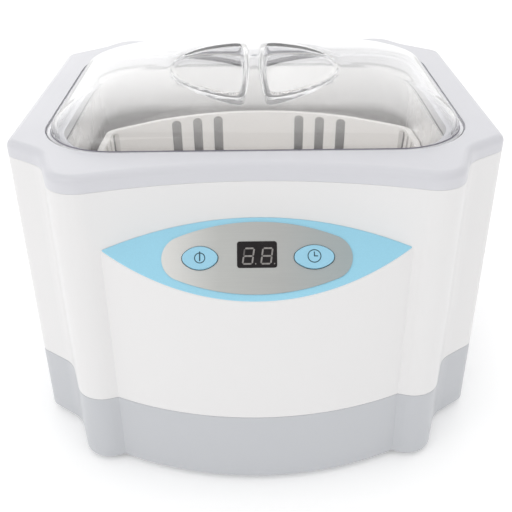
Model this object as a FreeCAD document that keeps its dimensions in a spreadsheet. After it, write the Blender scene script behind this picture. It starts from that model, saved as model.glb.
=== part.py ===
import FreeCAD, Part
import math
import os
import re
import Sketcher
from FreeCAD import Vector, Placement, Rotation

# Small bench ultrasonic cleaner.  Millimetres.  +Z up, +X to the operator's
# right, -Y towards the operator.  The origin is on the table under the middle.

doc = FreeCAD.newDocument("ultrasonic_cleaner")
sheet = doc.addObject("Spreadsheet::Sheet", "Sheet")

# ---------------------------------------------------------------- dimensions
DIMS = [
    ("base_z", 2.0, "underside of the base tray above the table"),
    ("split_z", 35.0, "joint between base tray and upper housing"),
    ("rim_z", 130.8, "underside of the top rim"),
    ("top_z", 137.3, "top of the rim"),
    ("edge_low", 1.2, "rounding of the tray's bottom edge"),
    ("edge_split", 0.4, "rounding of the edges at the case joint"),
    ("wall_t", 2.5, "moulded wall thickness"),
    ("floor_t", 2.5, "base tray floor thickness"),
    ("draft_in", 1.18, "draft: inset of the outline at the bottom"),
    ("side_x", 100.0, "half width over the side lobes"),
    ("side_yf", -52.97, "front end of the side face"),
    ("side_yb", 74.83, "back end of the side face"),
    ("notch_x", 83.6, "corner notch, half width"),
    ("notch_yf", -64.97, "front corner notch"),
    ("notch_yb", 89.13, "back corner notch"),
    ("lobe_x", 74.0, "front and back lobes, half width"),
    ("lobe_yf", -93.97, "front lobe"),
    ("lobe_yb", 103.28, "back lobe"),
    ("hollow_f", 13.67, "depth of the concave front wall"),
    ("hollow_b", 4.0, "depth of the concave back wall"),
    ("side_rad", 7.1, "side lobe corner radius"),
    ("notch_rad", 14.9, "notch radius"),
    ("lobe_rad", 12.5, "front and back lobe radius"),
    ("apron_x", 59.04, "half width of the front apron"),
    ("apron_rise", 13.93, "bulge of the front apron"),
    ("panel_y", -80.27, "top middle of the sloping panel, y"),
    ("panel_z", 115.6, "top middle of the sloping panel, z"),
    ("panel_deg", 46.74, "slope of the panel"),
    ("label_t", 0.4, "label film thickness"),
    ("inlay_t", 0.35, "metal inlay plate thickness"),
    ("inlay_w", 72.0, "inlay oval length"),
    ("inlay_ht", 28.1, "inlay oval height"),
    ("inlay_v", -15.85, "inlay centre down the slope"),
    ("btn_x", 21.5, "button centre offset"),
    ("btn_v", -15.8, "button centre down the slope"),
    ("btn_a_w", 13.4, "power button width"),
    ("btn_a_ht", 8.9, "power button height"),
    ("btn_b_w", 15.0, "timer button width"),
    ("btn_b_ht", 9.1, "timer button height"),
    ("btn_gap", 0.3, "clearance round a button"),
    ("win_w", 15.0, "display window width"),
    ("win_ht", 10.2, "display window height"),
    ("win_v", -14.6, "display window centre down the slope"),
    ("bay_y", 4.65, "middle of bath, rim opening and lid"),
    ("lid_x", 86.2, "lid half width"),
    ("lid_y", 72.1, "lid half depth"),
    ("lid_rad", 31.5, "lid corner radius"),
    ("lid_gap", 0.5, "gap round the lid"),
    ("rabbet_deep", 2.5, "depth of the lid seat"),
    ("mouth_x", 79.5, "rim mouth half width"),
    ("mouth_y", 65.5, "rim mouth half depth"),
    ("mouth_rad", 25.0, "rim mouth corner radius"),
    ("rim_fillet", 3.2, "rounding of the rim's top edge"),
    ("dome_rad", 315.0, "lid dome radius"),
    ("dome_top", 154.0, "lid dome apex"),
    ("lid_t", 2.0, "lid wall"),
    ("brim_z", 134.9, "underside of the lid brim"),
    ("grip_y", -3.77, "finger recess centre"),
    ("grip_rad", 35.5, "finger recess radius"),
    ("grip_floor", 147.3, "finger recess floor at the ridge"),
    ("grip_rise", 5.0, "rise of that floor to the outer end"),
    ("ridge_mid", 4.75, "grip ridge half width, middle"),
    ("ridge_end", 6.3, "grip ridge half width, ends"),
    ("tank_x", 79.0, "bath inner half width"),
    ("tank_y", 65.0, "bath inner half depth"),
    ("tank_rad", 24.5, "bath corner radius"),
    ("tank_t", 0.8, "bath sheet thickness"),
    ("tank_floor", 64.8, "bath floor, inside"),
    ("tank_top", 129.3, "top of the bath flange"),
    ("flange_w", 5.0, "bath flange width"),
    ("gasket_t", 1.5, "gasket thickness"),
    ("bask_x", 75.0, "basket half width"),
    ("bask_y", 53.0, "basket half depth"),
    ("bask_rad", 10.0, "basket corner radius"),
    ("bask_bow", 108.0, "radius of the basket's bowed front and back"),
    ("bask_off", 2.25, "sideways rest position of the basket"),
    ("bask_t", 1.8, "basket wall"),
    ("bask_z", 68.9, "basket floor, underside"),
    ("bask_top", 111.4, "basket top"),
    ("slot_w", 4.8, "basket slot width"),
    ("slot_pitch", 10.83, "basket slot pitch"),
    ("foot_rad", 6.5, "rubber foot radius"),
    ("horn_rad", 22.5, "transducer horn radius at the bath"),
    ("stack_rad", 19.0, "piezo ring radius"),
    ("horn_len", 20.0, "transducer horn height"),
    ("piezo_t", 5.0, "piezo ring thickness"),
    ("plate_t", 0.3, "electrode thickness"),
    ("mass_len", 15.0, "back mass height"),
    ("pcb_t", 1.6, "circuit board thickness"),
    ("pcb_z", 12.0, "driver board underside"),
    ("wire_rad", 1.1, "lead radius"),
    ("inlet_z", 19.25, "mains inlet centre height"),
    ("inlet_y", 98.6, "mains inlet seat"),
]
D = {}
for i, (alias, value, note) in enumerate(DIMS, start=1):
    sheet.set("A%d" % i, note)
    sheet.set("B%d" % i, str(value))
    sheet.setAlias("B%d" % i, alias)
    D[alias] = value
doc.recompute()

WORD = re.compile(r"[A-Za-z_][A-Za-z_0-9]*")
NODES = []


def bind(obj, prop, e):
    obj.setExpression(
        prop, WORD.sub(lambda m: "Sheet." + m.group(0) if m.group(0) in D else m.group(0), e)
    )


def setp(obj, prop, e):
    if isinstance(e, str):
        bind(obj, prop, e)
    else:
        setattr(obj, prop, e)


def place(obj, at, rot=None, prop="Placement"):
    base = Vector(*[0.0 if isinstance(e, str) else e for e in at])
    setattr(obj, prop, Placement(base, rot or Rotation()))
    for axis, e in zip("xyz", at):
        if isinstance(e, str):
            bind(obj, prop + ".Base." + axis, e)


def box(name, at, size, rot=None):
    o = doc.addObject("Part::Box", name)
    for p, e in zip(("Length", "Width", "Height"), size):
        setp(o, p, e)
    place(o, at, rot)
    return o


def cyl(name, at, radius, height, rot=None):
    o = doc.addObject("Part::Cylinder", name)
    setp(o, "Radius", radius)
    setp(o, "Height", height)
    place(o, at, rot)
    return o


def cone(name, at, rad_a, rad_b, height, rot=None):
    o = doc.addObject("Part::Cone", name)
    setp(o, "Radius1", rad_a)
    setp(o, "Radius2", rad_b)
    setp(o, "Height", height)
    place(o, at, rot)
    return o


def fuse(name, items):
    if len(items) == 1:
        return items[0]
    o = doc.addObject("Part::MultiFuse", name)
    o.Shapes = items
    return o


def cut(name, base, tools):
    o = doc.addObject("Part::Cut", name)
    o.Base = base
    o.Tool = tools if not isinstance(tools, list) else fuse(name + "_tools", tools)
    return o


def common(name, a, b):
    o = doc.addObject("Part::MultiCommon", name)
    o.Shapes = [a, b]
    return o


def group(name, items):
    o = doc.addObject("Part::Compound", name)
    o.Links = items
    return o


def node(obj, label):
    obj.Label = label
    NODES.append((label, obj))
    return obj


# ------------------------------------------------------------- sketch helpers
def put(sk, wire):
    for s in wire:
        if s[0] == "L":
            sk.addGeometry(Part.LineSegment(Vector(s[1][0], s[1][1], 0), Vector(s[2][0], s[2][1], 0)), False)
        elif s[0] == "A":
            c = Part.Circle(Vector(s[1][0], s[1][1], 0), Vector(0, 0, 1), s[2])
            sk.addGeometry(Part.ArcOfCircle(c, s[3], s[4]), False)
        else:
            n = sk.addGeometry(Part.Circle(Vector(s[1][0], s[1][1], 0), Vector(0, 0, 1), s[2]), False)
            k = sk.addConstraint(Sketcher.Constraint("Radius", n, s[2]))
            if len(s) > 3:
                bind(sk, "Constraints[%d]" % k, s[3])


def rrect(cx, cy, w2, h2, r):
    q = math.pi / 2
    return [
        ("L", (cx - w2 + r, cy - h2), (cx + w2 - r, cy - h2)),
        ("A", (cx + w2 - r, cy - h2 + r), r, -q, 0.0),
        ("L", (cx + w2, cy - h2 + r), (cx + w2, cy + h2 - r)),
        ("A", (cx + w2 - r, cy + h2 - r), r, 0.0, q),
        ("L", (cx + w2 - r, cy + h2), (cx - w2 + r, cy + h2)),
        ("A", (cx - w2 + r, cy + h2 - r), r, q, 2 * q),
        ("L", (cx - w2, cy + h2 - r), (cx - w2, cy - h2 + r)),
        ("A", (cx - w2 + r, cy - h2 + r), r, 2 * q, 3 * q),
    ]


def barrel(cx, cy, w2, h2, bow, r):
    # straight sides, bowed front and back, corners of radius r
    yc = h2 - bow
    yf = yc + math.sqrt((bow - r) ** 2 - (w2 - r) ** 2)
    t = math.atan2(yf - yc, w2 - r)
    pi = math.pi
    return [
        ("L", (cx + w2, cy - yf), (cx + w2, cy + yf)),
        ("A", (cx + w2 - r, cy + yf), r, 0.0, t),
        ("A", (cx, cy + yc), bow, t, pi - t),
        ("A", (cx - w2 + r, cy + yf), r, pi - t, pi),
        ("L", (cx - w2, cy + yf), (cx - w2, cy - yf)),
        ("A", (cx - w2 + r, cy - yf), r, pi, pi + t),
        ("A", (cx, cy - yc), bow, pi + t, 2 * pi - t),
        ("A", (cx + w2 - r, cy - yf), r, 2 * pi - t, 2 * pi),
    ]


def slot(cx, cy, w2, h2):
    # a slot with round ends; w2 and h2 are its half sizes
    q = math.pi / 2
    if w2 < h2:
        return [
            ("L", (cx + w2, cy - h2 + w2), (cx + w2, cy + h2 - w2)),
            ("A", (cx, cy + h2 - w2), w2, 0.0, 2 * q),
            ("L", (cx - w2, cy + h2 - w2), (cx - w2, cy - h2 + w2)),
            ("A", (cx, cy - h2 + w2), w2, 2 * q, 4 * q),
        ]
    return [
        ("L", (cx - w2 + h2, cy - h2), (cx + w2 - h2, cy - h2)),
        ("A", (cx + w2 - h2, cy), h2, -q, q),
        ("L", (cx + w2 - h2, cy + h2), (cx - w2 + h2, cy + h2)),
        ("A", (cx - w2 + h2, cy), h2, q, 3 * q),
    ]


def poly(points):
    return [("L", points[i], points[(i + 1) % len(points)]) for i in range(len(points))]


def oval(cx, cy, w2, h2):
    # flattened oval: two shallow arcs joined by two round ends
    e = h2 * 0.62
    rise = h2 - e
    half = w2 - e
    rad = (half * half + rise * rise) / (2 * rise)
    # the end circles of radius e are tangent to the shallow arcs
    cxr = w2 - e
    yc = h2 - rad
    # pick the shallow radius so that both circles are tangent
    rad = (cxr * cxr + h2 * h2 - e * e) / (2 * (h2 - e))
    yc = h2 - rad
    a = math.atan2(0 - yc, cxr)
    return [
        ("A", (cx, cy + yc), rad, a, math.pi - a),
        ("A", (cx - cxr, cy), e, math.pi - a, math.pi + a),
        ("A", (cx, cy - yc), rad, math.pi + a, 2 * math.pi - a),
        ("A", (cx + cxr, cy), e, -a, a),
    ]


def new_sketch(body, name, at, rot=None):
    s = body.newObject("Sketcher::SketchObject", name)
    xy = [f for f in body.Origin.OriginFeatures if f.Role == "XY_Plane"][0]
    s.AttachmentSupport = [(xy, "")]
    s.MapMode = "FlatFace"
    place(s, at, rot, "AttachmentOffset")
    return s


def new_body(name):
    b = doc.addObject("PartDesign::Body", name)
    if hasattr(b, "AllowCompound"):
        b.AllowCompound = True
    return b


def prism(name, wires, height, at=(0, 0, 0), rot=None):
    b = new_body(name)
    s = new_sketch(b, name + "_sketch", at, rot)
    for w in wires:
        put(s, w)
    p = b.newObject("PartDesign::Pad", name + "_pad")
    p.Profile = s
    setp(p, "Length", height)
    b.Tip = p
    return b


def loft(name, wire_lo, z_lo, wire_hi, z_hi):
    b = new_body(name)
    lo = new_sketch(b, name + "_low", (0, 0, z_lo))
    put(lo, wire_lo)
    hi = new_sketch(b, name + "_high", (0, 0, z_hi))
    put(hi, wire_hi)
    f = b.newObject("PartDesign::AdditiveLoft", name + "_loft")
    f.Profile = lo
    f.Sections = [hi]
    f.Ruled = True
    b.Tip = f
    return b


def round_edges(body, radius, keep):
    # rounds the edges of the body's last feature for which keep(edge) is true
    doc.recompute()
    tip = body.Tip
    names = ["Edge%d" % (i + 1) for i, e in enumerate(tip.Shape.Edges) if keep(e)]
    f = body.newObject("PartDesign::Fillet", body.Name + "_round")
    f.Base = (tip, names)
    setp(f, "Radius", radius)
    body.Tip = f
    return f


def level(z):
    return lambda e: abs(e.BoundBox.ZMin - z) < 1e-4 and abs(e.BoundBox.ZMax - z) < 1e-4


# ------------------------------------------------------ plan outline of the case
def line_of(p, q):
    d = (q[0] - p[0], q[1] - p[1])
    n = math.hypot(*d)
    d = (d[0] / n, d[1] / n)
    return p, d, (-d[1], d[0])


def meet(l1, o1, l2, o2):
    (p, d, n), (q, e, m) = l1, l2
    p = (p[0] + n[0] * o1, p[1] + n[1] * o1)
    q = (q[0] + m[0] * o2, q[1] + m[1] * o2)
    det = d[0] * -e[1] + e[0] * d[1]
    t = ((q[0] - p[0]) * -e[1] + e[0] * (q[1] - p[1])) / det
    return (p[0] + d[0] * t, p[1] + d[1] * t)


def circle_meet(ln, off, c, rad, near):
    p, d, n = ln
    p = (p[0] + n[0] * off - c[0], p[1] + n[1] * off - c[1])
    b = p[0] * d[0] + p[1] * d[1]
    k = p[0] ** 2 + p[1] ** 2 - rad * rad
    root = math.sqrt(b * b - k)
    pts = [(p[0] + d[0] * t + c[0], p[1] + d[1] * t + c[1]) for t in (-b - root, -b + root)]
    return min(pts, key=lambda w: math.hypot(w[0] - near[0], w[1] - near[1]))


def case_arcs():
    F = (D["lobe_x"], D["lobe_yf"])
    N = (D["notch_x"], D["notch_yf"])
    S = (D["side_x"], D["side_yf"])
    T = (D["side_x"], D["side_yb"])
    M = (D["notch_x"], D["notch_yb"])
    G = (D["lobe_x"], D["lobe_yb"])
    x2 = D["lobe_x"] ** 2
    rf = (x2 + D["hollow_f"] ** 2) / (2 * D["hollow_f"])
    rb = (x2 + D["hollow_b"] ** 2) / (2 * D["hollow_b"])
    cf = (0.0, D["lobe_yf"] + D["hollow_f"] - rf)
    cb = (0.0, D["lobe_yb"] - D["hollow_b"] + rb)
    l1, l2, l3, l4, l5 = line_of(F, N), line_of(N, S), line_of(S, T), line_of(T, M), line_of(M, G)

    def toward(a, b):
        n = math.hypot(b[0] - a[0], b[1] - a[1])
        return ((b[0] - a[0]) / n, (b[1] - a[1]) / n)

    def neg(v):
        return (-v[0], -v[1])

    r = D["lobe_rad"]
    c1 = circle_meet(l1, r, cf, rf + r, F)
    right = [(c1, r, True, toward(c1, cf), neg(l1[2]))]
    r = D["notch_rad"]
    right.append((meet(l1, -r, l2, -r), r, False, l1[2], l2[2]))
    r = D["side_rad"]
    right.append((meet(l2, r, l3, r), r, True, neg(l2[2]), neg(l3[2])))
    right.append((meet(l3, r, l4, r), r, True, neg(l3[2]), neg(l4[2])))
    r = D["notch_rad"]
    right.append((meet(l4, -r, l5, -r), r, False, l4[2], l5[2]))
    r = D["lobe_rad"]
    c6 = circle_meet(l5, r, cb, rb + r, G)
    right.append((c6, r, True, neg(l5[2]), toward(c6, cb)))
    left = [((-c[0], c[1]), r, v, (-b[0], b[1]), (-a[0], a[1])) for c, r, v, a, b in reversed(right)]
    u = toward(cf, c1)
    w = toward(cb, c6)
    front = (cf, rf, False, (-u[0], u[1]), u)
    back = (cb, rb, False, w, (-w[0], w[1]))
    return [front] + right + [back] + left


ARCS = case_arcs()


def case_wire(d):
    # the case's plan outline, moved inwards by d
    segs = []
    ends = []
    for c, r, convex, a, b in ARCS:
        rad = r - d if convex else r + d
        a0 = math.atan2(a[1], a[0])
        a1 = math.atan2(b[1], b[0])
        if convex:
            while a1 < a0:
                a1 += 2 * math.pi
            arc = ("A", c, rad, a0, a1)
        else:
            while a0 < a1:
                a0 += 2 * math.pi
            arc = ("A", c, rad, a1, a0)
        p = (c[0] + rad * a[0], c[1] + rad * a[1])
        q = (c[0] + rad * b[0], c[1] + rad * b[1])
        ends.append((p, q, arc))
    for i, (p, q, arc) in enumerate(ends):
        segs.append(arc)
        nxt = ends[(i + 1) % len(ends)][0]
        if math.hypot(nxt[0] - q[0], nxt[1] - q[1]) > 1e-6:
            segs.append(("L", q, nxt))
    return segs


def apron_wire(d):
    # the convex front apron; its sides run back into the case
    wall = D["lobe_yf"] + D["hollow_f"] * (1 - (D["apron_x"] / D["lobe_x"]) ** 2)
    rad = (D["apron_x"] ** 2 + D["apron_rise"] ** 2) / (2 * D["apron_rise"])
    cy = wall - D["apron_rise"] + rad
    rad = rad - d
    xe = 61.6
    yl = cy - math.sqrt(rad * rad - xe * xe)
    a = math.atan2(yl - cy, xe)
    return [
        ("A", (0.0, cy), rad, -math.pi - a, a),
        ("L", (xe, yl), (xe, -66.0)),
        ("L", (xe, -66.0), (-xe, -66.0)),
        ("L", (-xe, -66.0), (-xe, yl)),
    ]


def loft_stack(name, wire_of, steps):
    # ruled skin through several levels; steps holds (height, inset, height cell or None)
    b = new_body(name)
    sketches = []
    for i, (z, d, e) in enumerate(steps):
        k = new_sketch(b, "%s_level_%d" % (name, i), (0, 0, e or z))
        put(k, wire_of(d + inset(z)))
        sketches.append(k)
    f = b.newObject("PartDesign::AdditiveLoft", name + "_loft")
    f.Profile = sketches[0]
    f.Sections = sketches[1:]
    f.Ruled = True
    b.Tip = f
    return b


def soft_steps(z0, z1, r0, r1, e0, e1):
    # levels of a wall whose bottom and top edges are rounded by r0 and r1
    steps = []
    for a in (0.0, 22.5, 45.0, 67.5):
        c, q = math.cos(math.radians(a)), math.sin(math.radians(a))
        steps.append((z0 + r0 * (1 - c), r0 * (1 - q), e0 if a == 0 else None))
    steps.append((z0 + r0, 0.0, None))
    if r1 is None:
        steps.append((z1, 0.0, e1))
        return steps
    steps.append((z1 - r1, 0.0, None))
    for a in (67.5, 45.0, 22.5, 0.0):
        c, q = math.cos(math.radians(a)), math.sin(math.radians(a))
        steps.append((z1 - r1 * (1 - c), r1 * (1 - q), e1 if a == 0 else None))
    return steps


def inset(z):
    return D["draft_in"] * (1 - (z - D["base_z"]) / (D["top_z"] - D["base_z"]))


def case_loft(name, z0, z1, d, e0=None, e1=None):
    return loft(name, case_wire(d + inset(z0)), e0 or z0, case_wire(d + inset(z1)), e1 or z1)


def apron_loft(name, z0, z1, d, e0=None, e1=None):
    return loft(name, apron_wire(d + inset(z0)), e0 or z0, apron_wire(d + inset(z1)), e1 or z1)


def slab(name, z0, z1, d, e0=None, e1=None):
    return fuse(name, [case_loft(name + "_case", z0, z1, d, e0, e1), apron_loft(name + "_apron", z0, z1, d, e0, e1)])


# sloping panel: u across, v up the slope, w out of the face
RP = Rotation(Vector(1, 0, 0), D["panel_deg"])
CP, SP = math.cos(math.radians(D["panel_deg"])), math.sin(math.radians(D["panel_deg"]))


def pp(u, v, w):
    return (u, D["panel_y"] + v * CP - w * SP, D["panel_z"] + v * SP + w * CP)


def panel_prism(name, wires, w0, length):
    return prism(name, wires, length, at=pp(0, 0, w0), rot=RP)


Z0, ZS, ZR, ZT = D["base_z"], D["split_z"], D["rim_z"], D["top_z"]
WT = D["wall_t"]
BY = D["bay_y"]
BOSS = [(-91.5, -38.0), (91.5, -38.0), (-91.5, 58.0), (91.5, 58.0)]
FEET = [(-62.0, -78.0), (62.0, -78.0), (-62.0, 86.0), (62.0, 86.0)]
POST = [(-79.0, -34.0), (-31.0, -34.0), (-79.0, 64.0), (-31.0, 64.0)]

EB, ES = D["edge_low"], D["edge_split"]

# ------------------------------------------------------------------- base tray
tray_shell = cut(
    "tray_shell",
    fuse(
        "tray_out",
        [
            loft_stack("tray_out_case", case_wire, soft_steps(Z0, ZS, EB, ES, "base_z", "split_z")),
            loft_stack("tray_out_apron", apron_wire, soft_steps(Z0, ZS, EB, ES, "base_z", "split_z")),
        ],
    ),
    slab("tray_in", Z0 + D["floor_t"], ZS + 1, WT, "base_z+floor_t", "split_z+1"),
)
tongue = cut("tongue", slab("tongue_out", 32.0, 38.0, WT + 0.2), slab("tongue_in", 31.0, 39.0, 4.0))
tongue_root = cut("tongue_root", slab("root_out", 32.0, 34.8, 2.0), slab("root_in", 31.0, 36.0, 4.0))
tray_adds = [tray_shell, tongue, tongue_root]
for i, (x, y) in enumerate(BOSS):
    tray_adds.append(cyl("tray_boss_%d" % i, (x, y, "base_z+1"), 4.5, 35.0))
for i, (x, y) in enumerate(POST):
    tray_adds.append(cyl("tray_post_%d" % i, (x, y, "base_z+1"), 3.2, "pcb_z-base_z-1"))
tray_adds.append(box("inlet_pad", (-27, 94.0, 6.0), (54, 5.0, 28.0)))
tray_full = fuse("tray_full", tray_adds)
tray_cuts = []
for i, (x, y) in enumerate(BOSS):
    tray_cuts.append(cyl("tray_bore_%d" % i, (x, y, 0), 3.3, 22.0))
    tray_cuts.append(cyl("tray_hole_%d" % i, (x, y, 0), 1.7, 40.0))
for i, (x, y) in enumerate(POST):
    tray_cuts.append(cyl("post_hole_%d" % i, (x, y, "base_z+floor_t"), 1.25, 20.0))
for i, (x, y) in enumerate(FEET):
    tray_cuts.append(cyl("foot_hole_%d" % i, (x, y, 0), 3.1, 10.0))
# flat seat, body cut-out and screw holes of the mains inlet
tray_cuts.append(box("inlet_seat", (-25.6, "inlet_y", "inlet_z-11.65"), (51.2, 12.0, 23.3)))
tray_cuts.append(box("inlet_hole", (-14.1, 90.0, "inlet_z-10.1"), (28.2, 12.0, 20.2)))
for i, x in enumerate((-20.0, 20.0)):
    tray_cuts.append(cyl("inlet_screw_hole_%d" % i, (x, 104.0, "inlet_z"), 1.5, 14.0, Rotation(Vector(1, 0, 0), 90)))
# cooling slots in the floor
tray_cuts.append(
    prism(
        "vent_slots",
        [slot(42 + 6.5 * i, 0.0, 1.5, 22.0) for i in range(6)] + [slot(-24 + 12 * i, -62.0, 1.5, 12.0) for i in range(5)],
        10.0,
    )
)
base_tray = node(cut("base_tray_cut", tray_full, tray_cuts), "base_tray")

feet = [
    fuse(
        "foot_%d" % i,
        [cyl("foot_pad_%d" % i, (x, y, 0), "foot_rad", "base_z"), cyl("foot_stud_%d" % i, (x, y, 1.0), 3.0, 5.6)],
    )
    for i, (x, y) in enumerate(FEET)
]
node(group("feet_group", feet), "rubber_feet")

# --------------------------------------------------------------- upper housing
front_keep = box("panel_cutter", pp(-90, -70, -D["label_t"]), (180, 140, 80), RP)
inner_keep = box("panel_cutter_in", pp(-90, -70, -D["label_t"] - WT), (180, 140, 80), RP)
h_out = fuse(
    "house_out",
    [
        loft_stack("house_case", case_wire, soft_steps(ZS, ZR, ES, ES, "split_z", "rim_z")),
        cut("house_apron", loft_stack("house_apron_raw", apron_wire, soft_steps(ZS, 126.0, ES, None, "split_z", None)), front_keep),
    ],
)
h_in = fuse(
    "house_in",
    [
        case_loft("house_case_in", ZS - 1, ZR + 1, WT, "split_z-1", "rim_z+1"),
        cut("house_apron_in", apron_loft("house_apron_in_raw", ZS - 1, 126.0, WT, "split_z-1"), inner_keep),
    ],
)
house_adds = [cut("house_shell", h_out, h_in)]
for i, (x, y) in enumerate(BOSS):
    sgn = 1 if x > 0 else -1
    house_adds.append(cyl("house_boss_%d" % i, (x, y, 38.2), 4.5, 30.0))
    house_adds.append(box("house_rib_%d" % i, (x if sgn > 0 else x - 6.6, y - 1.0, 39.0), (6.6, 2.0, 27.0)))
for i, u in enumerate((-34.0, 34.0)):
    house_adds.append(cyl("board_boss_%d" % i, pp(u, -16.0, -11.0), 2.8, 9.4, RP))
house_full = fuse("house_full", house_adds)
G = D["btn_gap"]
house_cuts = [
    panel_prism(
        "panel_holes",
        [
            oval(-D["btn_x"], D["btn_v"], D["btn_a_w"] / 2 + G, D["btn_a_ht"] / 2 + G),
            oval(D["btn_x"], D["btn_v"], D["btn_b_w"] / 2 + G, D["btn_b_ht"] / 2 + G),
            rrect(0, D["win_v"], D["win_w"] / 2 + 0.05, D["win_ht"] / 2 + 0.05, 1.05),
        ],
        -5.0,
        8.0,
    )
]
for i, (x, y) in enumerate(BOSS):
    house_cuts.append(cyl("house_pilot_%d" % i, (x, y, 30.0), 1.35, 24.0))
for i, u in enumerate((-34.0, 34.0)):
    house_cuts.append(cyl("board_pilot_%d" % i, pp(u, -16.0, -11.5), 1.05, 8.0, RP))
node(cut("house_cut", house_full, house_cuts), "upper_housing")

screws = [
    fuse(
        "case_screw_%d" % i,
        [cyl("case_head_%d" % i, (x, y, 19.6), 2.8, 2.4), cyl("case_shank_%d" % i, (x, y, 21.9), 1.3, 26.0)],
    )
    for i, (x, y) in enumerate(BOSS)
]
node(group("case_screws_group", screws), "housing_screws")

# --------------------------------------------------------------------- top rim
rim_block = prism("rim_block", [case_wire(inset(ZR))], "top_z-rim_z", (0, 0, "rim_z"))
round_edges(rim_block, "rim_fillet", level(ZT))
LX, LY, LR, LG = D["lid_x"], D["lid_y"], D["lid_rad"], D["lid_gap"]
CLAMP = [(-1, -30.0), (1, -30.0), (-1, 40.0), (1, 40.0)]
rim_adds = [
    rim_block,
    cut("rim_lip", case_loft("rim_lip_out", 126.8, ZR + 0.5, WT + 0.2), case_loft("rim_lip_in", 126.0, ZR + 1, WT + 1.7)),
]
for i, (sg, y) in enumerate(CLAMP):
    rim_adds.append(cyl("rim_boss_%d" % i, (sg * 90.5, y, "tank_top-tank_t"), 3.6, "rim_z-tank_top+tank_t+0.5"))
rim_cuts = [
    prism("lid_seat", [rrect(0, BY, LX + LG, LY + LG, LR + LG)], 10.0, (0, 0, "top_z-rabbet_deep")),
    prism("rim_mouth", [rrect(0, BY, D["mouth_x"], D["mouth_y"], D["mouth_rad"])], 20.0, (0, 0, 125.0)),
]
for i, (sg, y) in enumerate(CLAMP):
    rim_cuts.append(cyl("rim_pilot_%d" % i, (sg * 90.5, y, 120.0), 1.25, 14.6))
node(cut("rim_cut", fuse("rim_full", rim_adds), rim_cuts), "top_rim")

# ------------------------------------------------------------------------ bath
TX, TY, TR, TT = D["tank_x"], D["tank_y"], D["tank_rad"], D["tank_t"]
t_out = prism("tank_out", [rrect(0, BY, TX + TT, TY + TT, TR + TT)], "tank_top-tank_floor+tank_t", (0, 0, "tank_floor-tank_t"))
round_edges(t_out, 9.0, level(D["tank_floor"] - TT))
t_in = prism("tank_in", [rrect(0, BY, TX, TY, TR)], 80.0, (0, 0, "tank_floor"))
round_edges(t_in, 8.2, level(D["tank_floor"]))
fl = D["flange_w"]
t_fl = prism(
    "tank_flange",
    [rrect(0, BY, TX + fl, TY + fl, TR + fl), rrect(0, BY, TX + 0.2, TY + 0.2, TR + 0.2)],
    "tank_t",
    (0, 0, "tank_top-tank_t"),
)
node(fuse("tank_full", [cut("tank_shell", t_out, t_in), t_fl]), "tank")
node(
    prism(
        "gasket_ring",
        [rrect(0, BY, TX + fl, TY + fl, TR + fl), rrect(0, BY, TX + 0.9, TY + 0.9, TR + 0.9)],
        "gasket_t",
        (0, 0, "tank_top"),
    ),
    "tank_gasket",
)
clamps = []
cscrews = []
for i, (sg, y) in enumerate(CLAMP):
    x0 = 80.6 if sg > 0 else -94.6
    c = box("clamp_plate_%d" % i, (x0, y - 6.0, "tank_top-tank_t-1.5"), (14.0, 12.0, 1.5))
    clamps.append(cut("clamp_%d" % i, c, cyl("clamp_hole_%d" % i, (sg * 90.5, y, 120.0), 1.6, 15.0)))
    cscrews.append(
        fuse(
            "clamp_screw_%d" % i,
            [
                cyl("clamp_head_%d" % i, (sg * 90.5, y, "tank_top-tank_t-1.5-2.2"), 2.7, 2.2),
                cyl("clamp_shank_%d" % i, (sg * 90.5, y, "tank_top-tank_t-1.6"), 1.2, 7.0),
            ],
        )
    )
node(group("clamp_group", clamps), "tank_clamps")
node(group("clamp_screw_group", cscrews), "clamp_screws")

# ---------------------------------------------------------------------- basket
BX, BD, BR, BT = D["bask_x"], D["bask_y"], D["bask_rad"], D["bask_t"]
BB, BO = D["bask_bow"], D["bask_off"]


def bask_wire(d):
    return barrel(BO, BY, BX - d, BD - d, BB - d, BR - d)


b_out = prism("bask_out", [bask_wire(0.0)], "bask_top-bask_z", (0, 0, "bask_z"))
round_edges(b_out, 5.0, level(D["bask_z"]))
b_in = prism("bask_in", [bask_wire(BT)], 80.0, (0, 0, "bask_z+bask_t"))
round_edges(b_in, 3.2, level(D["bask_z"] + BT))
b_lip = prism(
    "bask_lip",
    [bask_wire(-1.2), bask_wire(0.3)],
    1.8,
    (0, 0, "bask_top-1.8"),
)
b_feet = [
    cyl("bask_foot_%d" % i, (BO + sx * 44.0, BY + sy * 30.0, "tank_floor+0.1"), 4.0, "bask_z-tank_floor")
    for i, (sx, sy) in enumerate([(-1, -1), (1, -1), (-1, 1), (1, 1)])
]
b_body = fuse("bask_body", [cut("bask_shell", b_out, b_in), b_lip] + b_feet)
SW, PT = D["slot_w"] / 2, D["slot_pitch"]
xs = [-4 * PT, -3 * PT, -2 * PT, 2 * PT, 3 * PT, 4 * PT]
RXZ = Rotation(Vector(1, 0, 0), 90)
RYZ = Rotation(0.5, 0.5, 0.5, 0.5)
slots_fb = prism("bask_slots_fb", [slot(BO + x, 93.75, SW, 16.45) for x in xs], 160.0, (0, 90.0, 0), RXZ)
slots_lr = prism("bask_slots_lr", [slot(BY + y, 93.75, SW, 16.45) for y in (-2 * PT, -PT, 0.0, PT, 2 * PT)], 180.0, (-90.0, 0, 0), RYZ)
floor_slots = []
for yy, span, half in ((-27.0, 3, 9.5), (0.0, 5, 11.0), (27.0, 3, 9.5)):
    for k in range(-span, span + 1):
        floor_slots.append(slot(BO + k * PT, BY + yy, SW, half))
slots_floor = prism("bask_slots_floor", floor_slots, 12.0, (0, 0, "bask_z-4"))
node(cut("bask_cut", b_body, [slots_fb, slots_lr, slots_floor]), "basket")

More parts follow.
